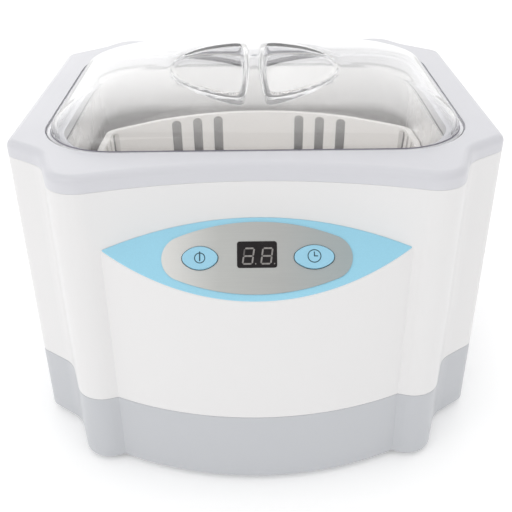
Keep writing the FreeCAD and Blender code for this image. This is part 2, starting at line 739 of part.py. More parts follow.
# ------------------------------------------------------------------------- lid
dome_z = "dome_top-dome_rad"
sph_out = doc.addObject("Part::Sphere", "dome_outer")
bind(sph_out, "Radius", "dome_rad")
place(sph_out, (0, "bay_y", dome_z))
sph_in = doc.addObject("Part::Sphere", "dome_inner")
bind(sph_in, "Radius", "dome_rad-lid_t")
place(sph_in, (0, "bay_y", dome_z))
sph_in2 = doc.addObject("Part::Sphere", "dome_inner_ridge")
bind(sph_in2, "Radius", "dome_rad-lid_t")
place(sph_in2, (0, "bay_y", dome_z))
sph_out2 = doc.addObject("Part::Sphere", "dome_outer_grip")
bind(sph_out2, "Radius", "dome_rad")
place(sph_out2, (0, "bay_y", dome_z))
LT = D["lid_t"]
skirt_out = prism("skirt_outer", [rrect(0, BY, LX - 2, LY - 2, LR - 2)], 40.0, (0, 0, "brim_z"))
skirt_in = prism("skirt_inner", [rrect(0, BY, LX - 2 - LT, LY - 2 - LT, LR - 2 - LT)], 40.0, (0, 0, "brim_z-1"))
dome_sharp = common("dome_sharp", skirt_out, sph_out)
doc.recompute()
dome_out = doc.addObject("Part::Fillet", "dome_out")
dome_out.Base = dome_sharp
dome_out.Edges = [
    (i + 1, 2.0, 2.0)
    for i, e in enumerate(dome_sharp.Shape.Edges)
    if e.BoundBox.ZMin > D["brim_z"] + 2.5 and e.BoundBox.ZMax - e.BoundBox.ZMin < 8.0 and len(e.Vertexes) > 1
    and not (len(e.Vertexes) == 2 and abs(e.Vertexes[0].X - e.Vertexes[1].X) < 1e-6 and abs(e.Vertexes[0].Y - e.Vertexes[1].Y) < 1e-6)
]
dome_in = common("dome_in", skirt_in, sph_in)
brim = prism(
    "lid_brim",
    [rrect(0, BY, LX, LY, LR), rrect(0, BY, LX - 2 - LT / 2, LY - 2 - LT / 2, LR - 2 - LT / 2)],
    1.9,
    (0, 0, "brim_z"),
)
GF = D["grip_floor"]
GE = GF + D["grip_rise"] * 37.0 / 30.5


def scoop_floor(drop):
    # cross section above two floors that rise from the ridge to the outer ends
    return [poly([(-42.0, GE - drop), (-5.0, GF - drop), (5.0, GF - drop), (42.0, GE - drop), (42.0, 175.0), (-42.0, 175.0)])]


TURN = Rotation(Vector(1, 0, 0), 90)
grip_block = common(
    "grip_block",
    common(
        "grip_bed",
        prism("grip_cyl", [[("C", (0, D["grip_y"]), D["grip_rad"] + LT, "grip_rad+lid_t")]], 24.0, (0, 0, "grip_floor-lid_t-2")),
        prism("grip_bed_section", scoop_floor(LT), 100.0, (0, 50.0, 0), TURN),
    ),
    sph_out2,
)


def ridge_wire(mid, end, half):
    # waisted bar running front to back
    rise = end - mid
    rad = (half * half + rise * rise) / (2 * rise)
    a = math.atan2(half, rad - rise)
    gy = D["grip_y"]
    return [
        ("A", (mid + rad, gy), rad, math.pi - a, math.pi + a),
        ("L", (end, gy - half), (-end, gy - half)),
        ("A", (-mid - rad, gy), rad, -a, a),
        ("L", (-end, gy + half), (end, gy + half)),
    ]


ridge = prism("grip_ridge", [ridge_wire(D["ridge_mid"], D["ridge_end"], 40.0)], 30.0, (0, 0, 140.0))
ridge_in = prism("grip_ridge_in", [ridge_wire(D["ridge_mid"] - 1.8, D["ridge_end"] - 1.8, 33.0)], 30.0, (0, 0, 138.0))
pocket = cut(
    "grip_pocket",
    common(
        "grip_scoop",
        prism("pocket_cyl", [[("C", (0, D["grip_y"]), D["grip_rad"], "grip_rad")]], 22.0, (0, 0, "grip_floor-1")),
        prism("grip_scoop_section", scoop_floor(0.0), 100.0, (0, 50.0, 0), TURN),
    ),
    ridge,
)
hollow = common("ridge_hollow", ridge_in, sph_in2)
lid_all = fuse("lid_all", [cut("dome_shell", dome_out, dome_in), brim, grip_block])
node(cut("lid_cut", lid_all, [pocket, hollow]), "lid")

# --------------------------------------------------------------- control panel
IW, IH, IV = D["inlay_w"] / 2, D["inlay_ht"] / 2, D["inlay_v"]
eye_in = slab("eye_ref", 80.0, 126.0, 0.35)
eye_slab = box("eye_slab", pp(-70, -60, -D["label_t"]), (140, 80, D["label_t"]), RP)
apron_ref = apron_loft("eye_apron", 80.0, 126.0, 0.35)
eye_raw = common("eye_raw", apron_ref, eye_slab)
eye_back = case_loft("eye_back", 80.0, 126.0, -0.15)
eye = cut("eye_trim", eye_raw, [eye_back, panel_prism("inlay_hole", [oval(0, IV, IW, IH)], -2.0, 4.0)])
node(eye, "label_overlay")
node(
    panel_prism(
        "inlay_plate",
        [
            oval(0, IV, IW - 0.02, IH - 0.02),
            oval(-D["btn_x"], D["btn_v"], D["btn_a_w"] / 2 + G, D["btn_a_ht"] / 2 + G),
            oval(D["btn_x"], D["btn_v"], D["btn_b_w"] / 2 + G, D["btn_b_ht"] / 2 + G),
            rrect(0, D["win_v"], D["win_w"] / 2 + 0.05, D["win_ht"] / 2 + 0.05, 1.05),
        ],
        -D["label_t"],
        "label_t+inlay_t",
    ),
    "panel_inlay",
)
node(
    panel_prism("window_lens", [rrect(0, D["win_v"], D["win_w"] / 2, D["win_ht"] / 2, 1.0)], -2.9, "2.9+inlay_t+0.1"),
    "display_window",
)
WB = -14.0
board_z = WB - D["pcb_t"]
node(
    cut(
        "module_cut",
        panel_prism("module_box", [rrect(0, D["win_v"], 7.3, 4.9, 0.4)], WB, -3.0 - WB),
        [box("module_relief", pp(-5.0, D["win_v"] - 3.0, WB - 1), (10.0, 6.0, 3.0), RP)],
    ),
    "display_module",
)
node(
    panel_prism(
        "board_plate",
        [
            rrect(0, -16.0, 38.0, 10.5, 1.5),
            [("C", (-34.0, -16.0), 1.3)],
            [("C", (34.0, -16.0), 1.3)],
        ],
        board_z,
        "pcb_t",
    ),
    "display_board",
)
# spacer posts carry the board below the housing's bosses
bscrews = []
spacers = []
for i, u in enumerate((-34.0, 34.0)):
    bscrews.append(
        fuse(
            "board_screw_%d" % i,
            [cyl("board_screw_head_%d" % i, pp(u, -16.0, board_z - 1.8), 2.1, 1.8, RP), cyl("board_screw_shank_%d" % i, pp(u, -16.0, board_z - 0.1), 1.0, 9.6, RP)],
        )
    )
    sp = cyl("spacer_out_%d" % i, pp(u, -16.0, WB), 2.6, -11.0 - WB, RP)
    spacers.append(cut("spacer_%d" % i, sp, cyl("spacer_in_%d" % i, pp(u, -16.0, WB - 1), 1.3, 6.0, RP)))
node(group("display_screw_group", bscrews), "display_board_screws")
node(group("spacer_group", spacers), "board_spacers")

PLG = -9.0  # underside of the button stems


def button(name, u, w, ht):
    cap = panel_prism(name + "_cap", [oval(u, D["btn_v"], w / 2, ht / 2)], -3.6, "3.6+inlay_t+0.9")
    round_edges(
        cap,
        0.5,
        lambda e: all(
            abs((v.Point - Vector(*pp(0, 0, 0))).dot(RP.multVec(Vector(0, 0, 1))) - (D["inlay_t"] + 0.9)) < 1e-4
            for v in e.Vertexes
        )
        and abs((e.CenterOfMass - Vector(*pp(0, 0, 0))).dot(RP.multVec(Vector(0, 0, 1))) - (D["inlay_t"] + 0.9)) < 1e-3,
    )
    skirt = panel_prism(name + "_skirt", [oval(u, D["btn_v"], w / 2 + 1.2, ht / 2 + 1.2)], -4.9, 1.4)
    stem = cyl(name + "_stem", pp(u, D["btn_v"], PLG), 2.2, -4.5 - PLG, RP)
    return fuse(name + "_all", [cap, skirt, stem])


node(button("power", -D["btn_x"], D["btn_a_w"], D["btn_a_ht"]), "power_button")
node(button("timer", D["btn_x"], D["btn_b_w"], D["btn_b_ht"]), "timer_button")
switches = []
for name, u in (("power", -D["btn_x"]), ("timer", D["btn_x"])):
    can = box(name + "_can", pp(u - 3.0, D["btn_v"] - 3.0, WB), (6.0, 6.0, 3.2), RP)
    switches.append(cut(name + "_switch", can, cyl(name + "_well", pp(u, D["btn_v"], WB + 1.0), 1.8, 6.0, RP)))
    node(cyl(name + "_push", pp(u, D["btn_v"], WB + 2.2), 1.7, PLG - WB - 2.2, RP), name + "_plunger")
node(group("switch_group", switches), "tact_switches")

# ------------------------------------------------------------------ transducer
zb = D["tank_floor"] - D["tank_t"]
hz = "tank_floor-tank_t-horn_len"
horn = cone("horn_cone", (0, "bay_y", hz), "stack_rad", "horn_rad", "horn_len")
node(cut("horn_cut", horn, cyl("horn_tap", (0, "bay_y", "tank_floor-tank_t-horn_len-1"), 3.1, 15.0)), "transducer_horn")


def ring(name, z, height, rad, hole):
    return cut(name, cyl(name + "_disc", (0, "bay_y", z), rad, height), cyl(name + "_eye", (0, "bay_y", z + "-1"), hole, 40.0))


plates = []
plates.append(ring("plate_a", hz + "-plate_t", "plate_t", "stack_rad", 4.0))
piezo_a = ring("piezo_a", hz + "-plate_t-piezo_t", "piezo_t", "stack_rad", 5.0)
plates.append(ring("plate_b", hz + "-2*plate_t-piezo_t", "plate_t", "stack_rad", 4.0))
piezo_b = ring("piezo_b", hz + "-2*plate_t-2*piezo_t", "piezo_t", "stack_rad", 5.0)
plates.append(ring("plate_c", hz + "-3*plate_t-2*piezo_t", "plate_t", "stack_rad", 4.0))
tabs = []
for i, (k, a) in enumerate(((0, 0.0), (1, 35.0), (2, 0.0))):
    e = hz + "-%d*plate_t-%d*piezo_t" % (k + 1, k)
    tab = box("tab_%d" % i, (18.0, BY + 8.0 * (1 if a else -1) - 2.0, e), (9.0, 4.0, "plate_t"))
    tabs.append(fuse("electrode_%d" % i, [plates[k], tab]))
node(group("electrodes", tabs), "electrode_plates")
node(group("piezos", [piezo_a, piezo_b]), "piezo_rings")
mz = hz + "-3*plate_t-2*piezo_t-mass_len"
node(
    cut("mass_cut", cyl("mass_disc", (0, "bay_y", mz), "stack_rad", "mass_len"), cyl("mass_eye", (0, "bay_y", mz + "-1"), 3.5, 40.0)),
    "transducer_back_mass",
)
hexa = prism(
    "bolt_hex",
    [poly([(6.5 * math.cos(math.radians(60 * i)), BY + 6.5 * math.sin(math.radians(60 * i))) for i in range(6)])],
    6.0,
    (0, 0, mz + "-6"),
)
node(fuse("bolt_all", [hexa, cyl("bolt_shank", (0, "bay_y", mz + "-0.5"), 3.0, 38.0)]), "transducer_bolt")

# ----------------------------------------------------------- driver electronics
PX0, PX1, PY0, PY1 = -85.0, -25.0, -40.0, 70.0
node(
    prism(
        "driver_plate",
        [rrect((PX0 + PX1) / 2, (PY0 + PY1) / 2, (PX1 - PX0) / 2, (PY1 - PY0) / 2, 2.0)]
        + [[("C", p, 1.6)] for p in POST],
        "pcb_t",
        (0, 0, "pcb_z"),
    ),
    "driver_board",
)
node(
    group(
        "driver_screws",
        [
            fuse(
                "driver_screw_%d" % i,
                [cyl("driver_head_%d" % i, (x, y, "pcb_z+pcb_t"), 2.8, 2.0), cyl("driver_shank_%d" % i, (x, y, "pcb_z+pcb_t-7"), 1.2, 7.2)],
            )
            for i, (x, y) in enumerate(POST)
        ],
    ),
    "board_screws",
)
PZ = "pcb_z+pcb_t"
fins = [box("fin_plate", (-73.0, -20.0, PZ), (3.0, 46.0, 34.0))]
for i in range(7):
    fins.append(box("fin_%d" % i, (-83.0, -20.0 + i * 7.2, PZ), (10.5, 1.8, 34.0)))
node(fuse("fins", fins), "heatsink")
node(
    group(
        "transistors",
        [
            fuse("to_%d" % i, [box("to_body_%d" % i, (-70.0, y, PZ + "+6"), (4.4, 10.0, 15.0)), box("to_legs_%d" % i, (-68.4, y + 1.5, PZ), (1.0, 7.0, 6.5))])
            for i, y in enumerate((-14.0, 8.0))
        ],
    ),
    "power_transistors",
)
tc = [
    box("core_low", (-57.0, -8.0, PZ), (28.0, 28.0, 6.0)),
    box("core_top", (-57.0, -8.0, PZ + "+20"), (28.0, 28.0, 6.0)),
    box("core_l", (-57.0, -8.0, PZ), (5.0, 28.0, 24.0)),
    box("core_r", (-34.0, -8.0, PZ), (5.0, 28.0, 24.0)),
    cyl("core_mid", (-43.0, 6.0, PZ), 4.0, 24.0),
]
node(fuse("core_all", tc), "transformer_core")
node(
    cut("winding_cut", cyl("winding_disc", (-43.0, 6.0, PZ + "+6"), 8.8, 14.0), cyl("winding_eye", (-43.0, 6.0, PZ), 4.0, 40.0)),
    "transformer_winding",
)
node(cyl("capacitor_can", (-40.0, 38.0, PZ), 8.0, 26.0), "filter_capacitor")
node(
    group(
        "film_caps",
        [box("film_%d" % i, (x, y, PZ), (w, 18.0, h)) for i, (x, y, w, h) in enumerate([(-77.0, 34.0, 8.0, 14.0), (-65.0, 34.0, 8.0, 14.0), (-60.0, -32.0, 6.0, 11.0)])],
    ),
    "film_capacitors",
)
node(
    fuse(
        "fuse_all",
        [cyl("fuse_tube", (-74.0, 58.5, PZ + "+5"), 2.6, 20.0, Rotation(Vector(0, 1, 0), 90)), box("fuse_clip_a", (-74.0, 55.2, PZ), (5.0, 6.6, 8.4)), box("fuse_clip_b", (-59.0, 55.2, PZ), (5.0, 6.6, 8.4))],
    ),
    "fuse_holder",
)
node(box("terminal_box", (-49.0, 56.0, PZ), (12.0, 9.0, 10.0)), "terminal_block")

# --------------------------------------------------------------- mains inlet
IY, IZ = D["inlet_y"], D["inlet_z"]
RY90 = Rotation(Vector(1, 0, 0), -90)
flange = prism("inlet_flange", [rrect(0, -IZ, 25.0, 11.25, 3.0)], 2.4, (0, "inlet_y", 0), RY90)
shroud = box("inlet_shroud", (-13.8, "inlet_y-17", "inlet_z-9.9"), (27.6, 18.0, 19.8))
cav_pts = [(-12.0, -8.15), (-12.0, 4.5), (-8.6, 8.15), (8.6, 8.15), (12.0, 4.5), (12.0, -8.15)]
cavity = prism("inlet_cavity", [poly([(x, -IZ - y) for x, y in reversed(cav_pts)])], 30.0, (0, "inlet_y-14.5", 0), RY90)
inlet_cuts = [cavity]
for i, x in enumerate((-20.0, 20.0)):
    inlet_cuts.append(cyl("flange_hole_%d" % i, (x, 104.0, "inlet_z"), 1.6, 10.0, Rotation(Vector(1, 0, 0), 90)))
PINS = [(-7.0, -1.9), (0.0, 2.1), (7.0, -1.9)]
for i, (x, dz) in enumerate(PINS):
    inlet_cuts.append(box("pin_slot_%d" % i, (x - 1.0, 70.0, IZ + dz - 2.0), (2.0, 20.0, 4.0)))
node(cut("inlet_cut", fuse("inlet_body", [flange, shroud]), inlet_cuts), "inlet_housing")
node(
    group("pins", [box("pin_%d" % i, (x - 1.0, IY - 22.0, IZ + dz - 2.0), (2.0, 20.5, 4.0)) for i, (x, dz) in enumerate(PINS)]),
    "inlet_pins",
)
node(
    group(
        "inlet_screw_group",
        [
            fuse(
                "inlet_screw_%d" % i,
                [
                    cyl("inlet_head_%d" % i, (x, IY + 4.2, "inlet_z"), 2.7, 1.8, Rotation(Vector(1, 0, 0), 90)),
                    cyl("inlet_shank_%d" % i, (x, IY + 2.5, "inlet_z"), 1.4, 8.5, Rotation(Vector(1, 0, 0), 90)),
                ],
            )
            for i, x in enumerate((-20.0, 20.0))
        ],
    ),
    "inlet_screws",
)


# ---------------------------------------------------------------------- leads
def lead(name, pts, rad):
    # straight runs joined by tangent arcs; the section is a circle
    v = [Vector(*p) for p in pts]
    edges = []
    cur = v[0]
    for a, b, c in zip(v, v[1:], v[2:]):
        d1 = (b - a).normalize() if (b - a).Length else None
        d2 = (c - b).normalize()
        turn = math.acos(max(-1.0, min(1.0, d1.dot(d2))))
        rr = 0.45 * min((b - a).Length, (c - b).Length) / math.tan(turn / 2)
        rr = min(rr, 14.0)
        tl = rr * math.tan(turn / 2)
        p1 = b - d1 * tl
        p2 = b + d2 * tl
        mid_dir = (d2 - d1).normalize()
        mid = b + mid_dir * (rr / math.cos(turn / 2) - rr)
        edges.append(Part.LineSegment(cur, p1).toShape())
        edges.append(Part.Arc(p1, mid, p2).toShape())
        cur = p2
    edges.append(Part.LineSegment(cur, v[-1]).toShape())
    path = Part.Wire(edges)
    start = (v[1] - v[0]).normalize()
    prof = Part.Wire([Part.Circle(v[0], start, rad).toShape()])
    sh = path.makePipeShell([prof], True, True)
    o = doc.addObject("Part::Feature", name)
    o.Shape = sh
    print("lead", name, round(sh.Volume, 1), round(math.pi * rad * rad * path.Length, 1), sh.isValid())
    return o


WR = D["wire_rad"]
PB = D["pcb_z"] + D["pcb_t"]
node(
    group(
        "mains_lead_group",
        [
            lead("lead_live", [(-7, IY - 22.0, IZ - 1.9), (-7, IY - 32, IZ - 1.9), (-22, 60, 30), (-36, 61.5, 29), (-46, 58.5, PB + 16), (-46, 58.5, PB + 10.0)], WR),
            lead("lead_neutral", [(7, IY - 22.0, IZ - 1.9), (7, IY - 34, IZ - 1.9), (-14, 54, 37), (-32, 56, 38), (-40, 62.0, PB + 18), (-40, 62.0, PB + 10.0)], WR),
        ],
    ),
    "mains_leads",
)
node(
    group(
        "transducer_lead_group",
        [
            lead("lead_hot", [(-29.0, -24.0, PB), (-29.0, -24.0, PB + 14), (-14, -34, 33), (22, -30, 36), (42.0, BY + 4.0, 38.55), (36.0, BY + 8.0, 38.55), (27.0, BY + 8.0, 38.55)], 0.9),
            lead("lead_return", [(-39.0, -28.0, PB), (-39.0, -28.0, PB + 10), (-12, -42, 25), (30, -38, 30), (42.0, BY - 13.0, 33.25), (36.0, BY - 8.0, 33.25), (27.0, BY - 8.0, 33.25)], 0.9),
        ],
    ),
    "transducer_leads",
)
node(
    lead("lead_earth", [(0, IY - 22.0, IZ + 2.1), (0, IY - 30, IZ + 2.1), (14, 58, 34), (44.0, 50.0, 40), (52.0, 44.0, 52.0), (52.0, 44.0, 58.5)], WR),
    "earth_lead",
)
stud = cyl("stud_rod", (52.0, 36.0, "tank_floor-tank_t-10"), 2.0, 10.0)
node(stud, "earth_stud")
lug = cut(
    "lug_all",
    fuse("lug_parts", [cyl("lug_disc", (52.0, 36.0, 58.5), 4.2, 0.8), box("lug_tail", (50.6, 37.0, 58.5), (2.8, 9.0, 0.8))]),
    cyl("lug_eye", (52.0, 36.0, 57.0), 2.1, 4.0),
)
node(lug, "earth_lug")
node(
    cut(
        "nut_all",
        prism("nut_hex", [poly([(52.0 + 4.0 * math.cos(math.radians(60 * i)), 36.0 + 4.0 * math.sin(math.radians(60 * i))) for i in range(6)])], 3.0, (0, 0, 55.5)),
        cyl("nut_eye", (52.0, 36.0, 54.0), 2.05, 6.0),
    ),
    "earth_nut",
)
# flat cable from the driver board up to the display board
rx0, rw = -34.0, 10.0
c0 = pp(0, -24.0, board_z)
ribbon_pts = [(-28.0, PB), (-28.0, PB + 6.0), (-62.0, PB + 24.0), (-84.0, 40.0), (-84.0, c0[2] - 14.0), (c0[1], c0[2])]


def strip(points, t):
    # centre line thickened to a flat strip section in the y-z plane
    left, right = [], []
    n = len(points)
    for i, p in enumerate(points):
        a = points[max(0, i - 1)]
        b = points[min(n - 1, i + 1)]
        d1 = (p[0] - a[0], p[1] - a[1]) if i else (b[0] - p[0], b[1] - p[1])
        d2 = (b[0] - p[0], b[1] - p[1]) if i < n - 1 else d1
        l1, l2 = math.hypot(*d1), math.hypot(*d2)
        n1 = (-d1[1] / l1, d1[0] / l1)
        n2 = (-d2[1] / l2, d2[0] / l2)
        m = (n1[0] + n2[0], n1[1] + n2[1])
        k = t / 2 / ((m[0] * n1[0] + m[1] * n1[1]) or 1) * 1.0
        left.append((p[0] + m[0] * k, p[1] + m[1] * k))
        right.append((p[0] - m[0] * k, p[1] - m[1] * k))
    return left + right[::-1]


node(prism("ribbon_strip", [poly(strip(ribbon_pts, 1.0))], rw, (rx0 - 18.0, 0, 0), RYZ), "display_ribbon")

# ------------------------------------------------------------------- write out
doc.recompute()
bad = []
for o in doc.Objects:
    if "Invalid" in o.State or "Error" in o.State:
        bad.append("%s (%s): %s" % (o.Name, o.Label, o.State))
for label, o in NODES:
    sh = o.Shape
    if sh.isNull():
        bad.append(label + ": null shape")
    elif not sh.isValid():
        bad.append(label + ": invalid shape")
    elif not sh.Solids:
        bad.append(label + ": no solid")
if bad:
    raise SystemExit("failed objects:\n" + "\n".join(bad))
os.makedirs("parts", exist_ok=True)
for label, o in NODES:
    o.Shape.exportStep("parts/%s.step" % label)
    bb = o.Shape.BoundBox
    print(
        "%-22s solids %2d vol %10.1f  x %7.2f %7.2f y %7.2f %7.2f z %7.2f %7.2f"
        % (label, len(o.Shape.Solids), o.Shape.Volume, bb.XMin, bb.XMax, bb.YMin, bb.YMax, bb.ZMin, bb.ZMax)
    )
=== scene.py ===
import math

import bmesh
import bpy
import numpy as np
from mathutils import Matrix, Vector
from mathutils.geometry import delaunay_2d_cdt


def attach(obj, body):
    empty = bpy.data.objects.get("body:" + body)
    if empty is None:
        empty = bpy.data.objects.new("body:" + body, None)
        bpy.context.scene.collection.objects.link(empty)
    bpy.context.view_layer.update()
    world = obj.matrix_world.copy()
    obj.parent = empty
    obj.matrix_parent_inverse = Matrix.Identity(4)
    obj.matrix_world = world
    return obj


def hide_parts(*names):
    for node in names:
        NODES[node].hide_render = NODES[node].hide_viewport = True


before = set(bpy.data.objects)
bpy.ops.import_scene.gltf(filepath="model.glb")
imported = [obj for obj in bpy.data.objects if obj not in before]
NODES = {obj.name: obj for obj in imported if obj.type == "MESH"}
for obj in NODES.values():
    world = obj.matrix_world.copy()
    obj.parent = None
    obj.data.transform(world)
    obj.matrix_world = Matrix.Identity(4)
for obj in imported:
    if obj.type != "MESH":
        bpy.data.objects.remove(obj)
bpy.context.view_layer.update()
MM = 0.001


# ---------------------------------------------------------------- node helpers
def lin(c):
    c = c / 255.0
    return c / 12.92 if c <= 0.04045 else ((c + 0.055) / 1.055) ** 2.4


def rgb(r, g, b):
    return (lin(r), lin(g), lin(b), 1.0)


def shade(c, k):
    return tuple(max(0.0, min(1.0, x * k)) for x in c[:3]) + (1.0,)


class Mat:
    """A material with a Principled shader and a few small helpers for its nodes."""

    def __init__(self, name):
        self.m = bpy.data.materials.new(name)
        self.m.use_nodes = True
        self.nt = self.m.node_tree
        self.nt.nodes.clear()
        self.out = self.nt.nodes.new("ShaderNodeOutputMaterial")
        self.p = self.nt.nodes.new("ShaderNodeBsdfPrincipled")
        self.nt.links.new(self.p.outputs[0], self.out.inputs["Surface"])
        self.coord = self.nt.nodes.new("ShaderNodeTexCoord").outputs["Object"]

    def link(self, a, b):
        self.nt.links.new(a, b)

    def mapped(self, scale=(1, 1, 1), rotation=(0, 0, 0), location=(0, 0, 0)):
        n = self.nt.nodes.new("ShaderNodeMapping")
        self.link(self.coord, n.inputs["Vector"])
        n.inputs["Scale"].default_value = scale
        n.inputs["Rotation"].default_value = rotation
        n.inputs["Location"].default_value = location
        return n.outputs[0]

    def noise(self, scale, detail=3.0, rough=0.5, vector=None, distortion=0.0):
        n = self.nt.nodes.new("ShaderNodeTexNoise")
        self.link(vector or self.coord, n.inputs["Vector"])
        n.inputs["Scale"].default_value = scale
        n.inputs["Detail"].default_value = detail
        n.inputs["Roughness"].default_value = rough
        n.inputs["Distortion"].default_value = distortion
        return n.outputs[0]

    def voronoi(self, scale, vector=None, feature="F1"):
        n = self.nt.nodes.new("ShaderNodeTexVoronoi")
        n.feature = feature
        self.link(vector or self.coord, n.inputs["Vector"])
        n.inputs["Scale"].default_value = scale
        return n.outputs[0]

    def wave(self, scale, vector=None, direction="X", distortion=0.0, kind="BANDS"):
        n = self.nt.nodes.new("ShaderNodeTexWave")
        n.wave_type = kind
        if kind == "BANDS":
            n.bands_direction = direction
        self.link(vector or self.coord, n.inputs["Vector"])
        n.inputs["Scale"].default_value = scale
        n.inputs["Distortion"].default_value = distortion
        return n.outputs[1]

    def ramp(self, fac, stops, mode="LINEAR"):
        n = self.nt.nodes.new("ShaderNodeValToRGB")
        n.color_ramp.interpolation = mode
        el = n.color_ramp.elements
        while len(el) < len(stops):
            el.new(0.5)
        for e, (pos, col) in zip(el, stops):
            e.position = pos
            e.color = col if hasattr(col, "__len__") else (col, col, col, 1)
        self.link(fac, n.inputs[0])
        return n.outputs[0]

    def span(self, value, a0, a1, b0, b1):
        n = self.nt.nodes.new("ShaderNodeMapRange")
        self.link(value, n.inputs["Value"])
        for key, v in zip(("From Min", "From Max", "To Min", "To Max"), (a0, a1, b0, b1)):
            n.inputs[key].default_value = v
        return n.outputs[0]

    def mix(self, a, b, fac, blend="MIX"):
        n = self.nt.nodes.new("ShaderNodeMix")
        n.data_type = "RGBA"
        n.blend_type = blend
        for sock, v in ((n.inputs[0], fac), (n.inputs[6], a), (n.inputs[7], b)):
            if hasattr(v, "is_output"):
                self.link(v, sock)
            else:
                sock.default_value = v
        return n.outputs[2]

    def add(self, a, b, op="ADD"):
        n = self.nt.nodes.new("ShaderNodeMath")
        n.operation = op
        for sock, v in ((n.inputs[0], a), (n.inputs[1], b)):
            if hasattr(v, "is_output"):
                self.link(v, sock)
            else:
                sock.default_value = v
        return n.outputs[0]

    def axis(self, which):
        n = self.nt.nodes.new("ShaderNodeSeparateXYZ")
        self.link(self.coord, n.inputs[0])
        return n.outputs["XYZ".index(which)]

    def bump(self, height, distance, strength=1.0, under=None):
        n = self.nt.nodes.new("ShaderNodeBump")
        n.inputs["Strength"].default_value = strength
        n.inputs["Distance"].default_value = distance
        self.link(height, n.inputs["Height"])
        if under is not None:
            self.link(under, n.inputs["Normal"])
        return n.outputs[0]

    def base(self, v):
        if hasattr(v, "is_output"):
            self.link(v, self.p.inputs["Base Color"])
        else:
            self.p.inputs["Base Color"].default_value = v

    def rough(self, v):
        if hasattr(v, "is_output"):
            self.link(v, self.p.inputs["Roughness"])
        else:
            self.p.inputs["Roughness"].default_value = v

    def normal(self, v):
        self.link(v, self.p.inputs["Normal"])

    def set(self, key, v):
        self.p.inputs[key].default_value = v


MATS = {}


def moulded(name, col, rough=0.32, swing=0.05, mottle=0.02, peel=0.010, grain=0.0, coat=0.0, ior=1.5, wear=None):
    """Injection-moulded plastic: faint flow mottling, orange peel, uneven gloss and, if grain is given, a spark-eroded texture."""
    m = Mat(name)
    cloud = m.noise(26.0, 4.0, 0.6)
    fine = m.noise(900.0, 2.0, 0.5)
    tone = m.ramp(cloud, [(0.25, shade(col, 1 - mottle)), (0.75, shade(col, 1 + mottle))])
    speck = m.ramp(fine, [(0.2, shade(col, 1 - 1.2 * mottle)), (0.8, shade(col, 1 + 1.2 * mottle))])
    m.base(m.mix(tone, speck, 0.35))
    m.rough(m.span(m.noise(30.0, 2.0, 0.5), 0.3, 0.7, rough - swing, rough + swing))
    n = m.bump(m.noise(260.0, 1.0, 0.4), peel * MM, 1.0)
    if grain:
        n = m.bump(m.noise(2600.0, 3.0, 0.6), grain * MM, 1.0, n)
    m.normal(n)
    m.set("IOR", ior)
    if coat:
        m.set("Coat Weight", coat)
        m.set("Coat Roughness", 0.12)
    MATS[name] = m.m
    return m


def metal(name, col, rough=0.3, stretch=(30, 900, 900), streak=0.12, bump=0.002):
    """Bright metal with drawing or rolling lines along one axis."""
    m = Mat(name)
    lines = m.noise(1.0, 5.0, 0.7, m.mapped(stretch))
    m.base(m.ramp(lines, [(0.25, shade(col, 1 - streak)), (0.75, shade(col, 1 + streak))]))
    m.rough(m.span(lines, 0.2, 0.8, rough - 0.1, rough + 0.12))
    m.set("Metallic", 1.0)
    m.normal(m.bump(lines, bump * MM, 1.0))
    MATS[name] = m.m
    return m


# ------------------------------------------------------------------- materials
moulded("housing_white", rgb(229, 228, 228), rough=0.33, swing=0.025, mottle=0.006, peel=0.003, grain=0.0008, coat=0.15)
moulded("rim_pale", rgb(210, 210, 215), rough=0.34, swing=0.03, mottle=0.008, peel=0.003, grain=0.001, coat=0.2)
moulded("tray_grey", rgb(193, 195, 199), rough=0.36, swing=0.03, mottle=0.010, peel=0.003, grain=0.001, coat=0.15)
moulded("bath_white", rgb(246, 245, 243), rough=0.22, mottle=0.008, peel=0.004, coat=0.3)
moulded("basket_white", rgb(245, 242, 238), rough=0.38, mottle=0.010, peel=0.008, grain=0.001)
moulded("seal_rubber", rgb(92, 92, 95), rough=0.6, mottle=0.05, peel=0.01, grain=0.01)
moulded("nylon_white", rgb(222, 220, 210), rough=0.45, mottle=0.03, peel=0.01)
moulded("switch_black", rgb(38, 38, 40), rough=0.4, mottle=0.08, peel=0.008)
moulded("inlet_black", rgb(34, 34, 36), rough=0.42, mottle=0.08, peel=0.01, grain=0.006)
moulded("module_black", rgb(26, 26, 28), rough=0.35, mottle=0.08, peel=0.004)
moulded("film_yellow", rgb(208, 168, 52), rough=0.35, mottle=0.06, peel=0.02)
moulded("lead_brown", rgb(112, 66, 38), rough=0.42, mottle=0.06, peel=0.01)
moulded("lead_red", rgb(176, 38, 34), rough=0.42, mottle=0.06, peel=0.01)

m = moulded("rubber_black", rgb(44, 44, 46), rough=0.7, mottle=0.10, peel=0.02, grain=0.02)
m = metal("zinc_steel", rgb(178, 180, 182), rough=0.34)
m = metal("alloy", rgb(192, 193, 196), rough=0.30, stretch=(900, 40, 900))
m = metal("brass_plate", rgb(200, 168, 92), rough=0.28, stretch=(500, 500, 60), streak=0.10)
m = metal("steel_block", rgb(150, 152, 156), rough=0.35, stretch=(1500, 1500, 60), streak=0.12, bump=0.004)

# copper winding: windings laid side by side round the bobbin, with painted shade in the grooves between them and a
# painted highlight on each crown
m = Mat("copper_wire")
turns_and_groove_shade = m.wave(700.0, direction="Z", distortion=0.4)
# painted shade and highlight: dark copper in the grooves, bright copper on the crowns
m.base(m.ramp(turns_and_groove_shade, [(0.0, rgb(92, 44, 20)), (0.5, rgb(184, 104, 52)), (1.0, rgb(214, 138, 84))]))
m.rough(m.span(m.noise(300.0), 0.3, 0.7, 0.22, 0.4))
m.set("Metallic", 1.0)
m.normal(m.bump(turns_and_groove_shade, 0.12 * MM, 1.0))
MATS["copper_wire"] = m.m

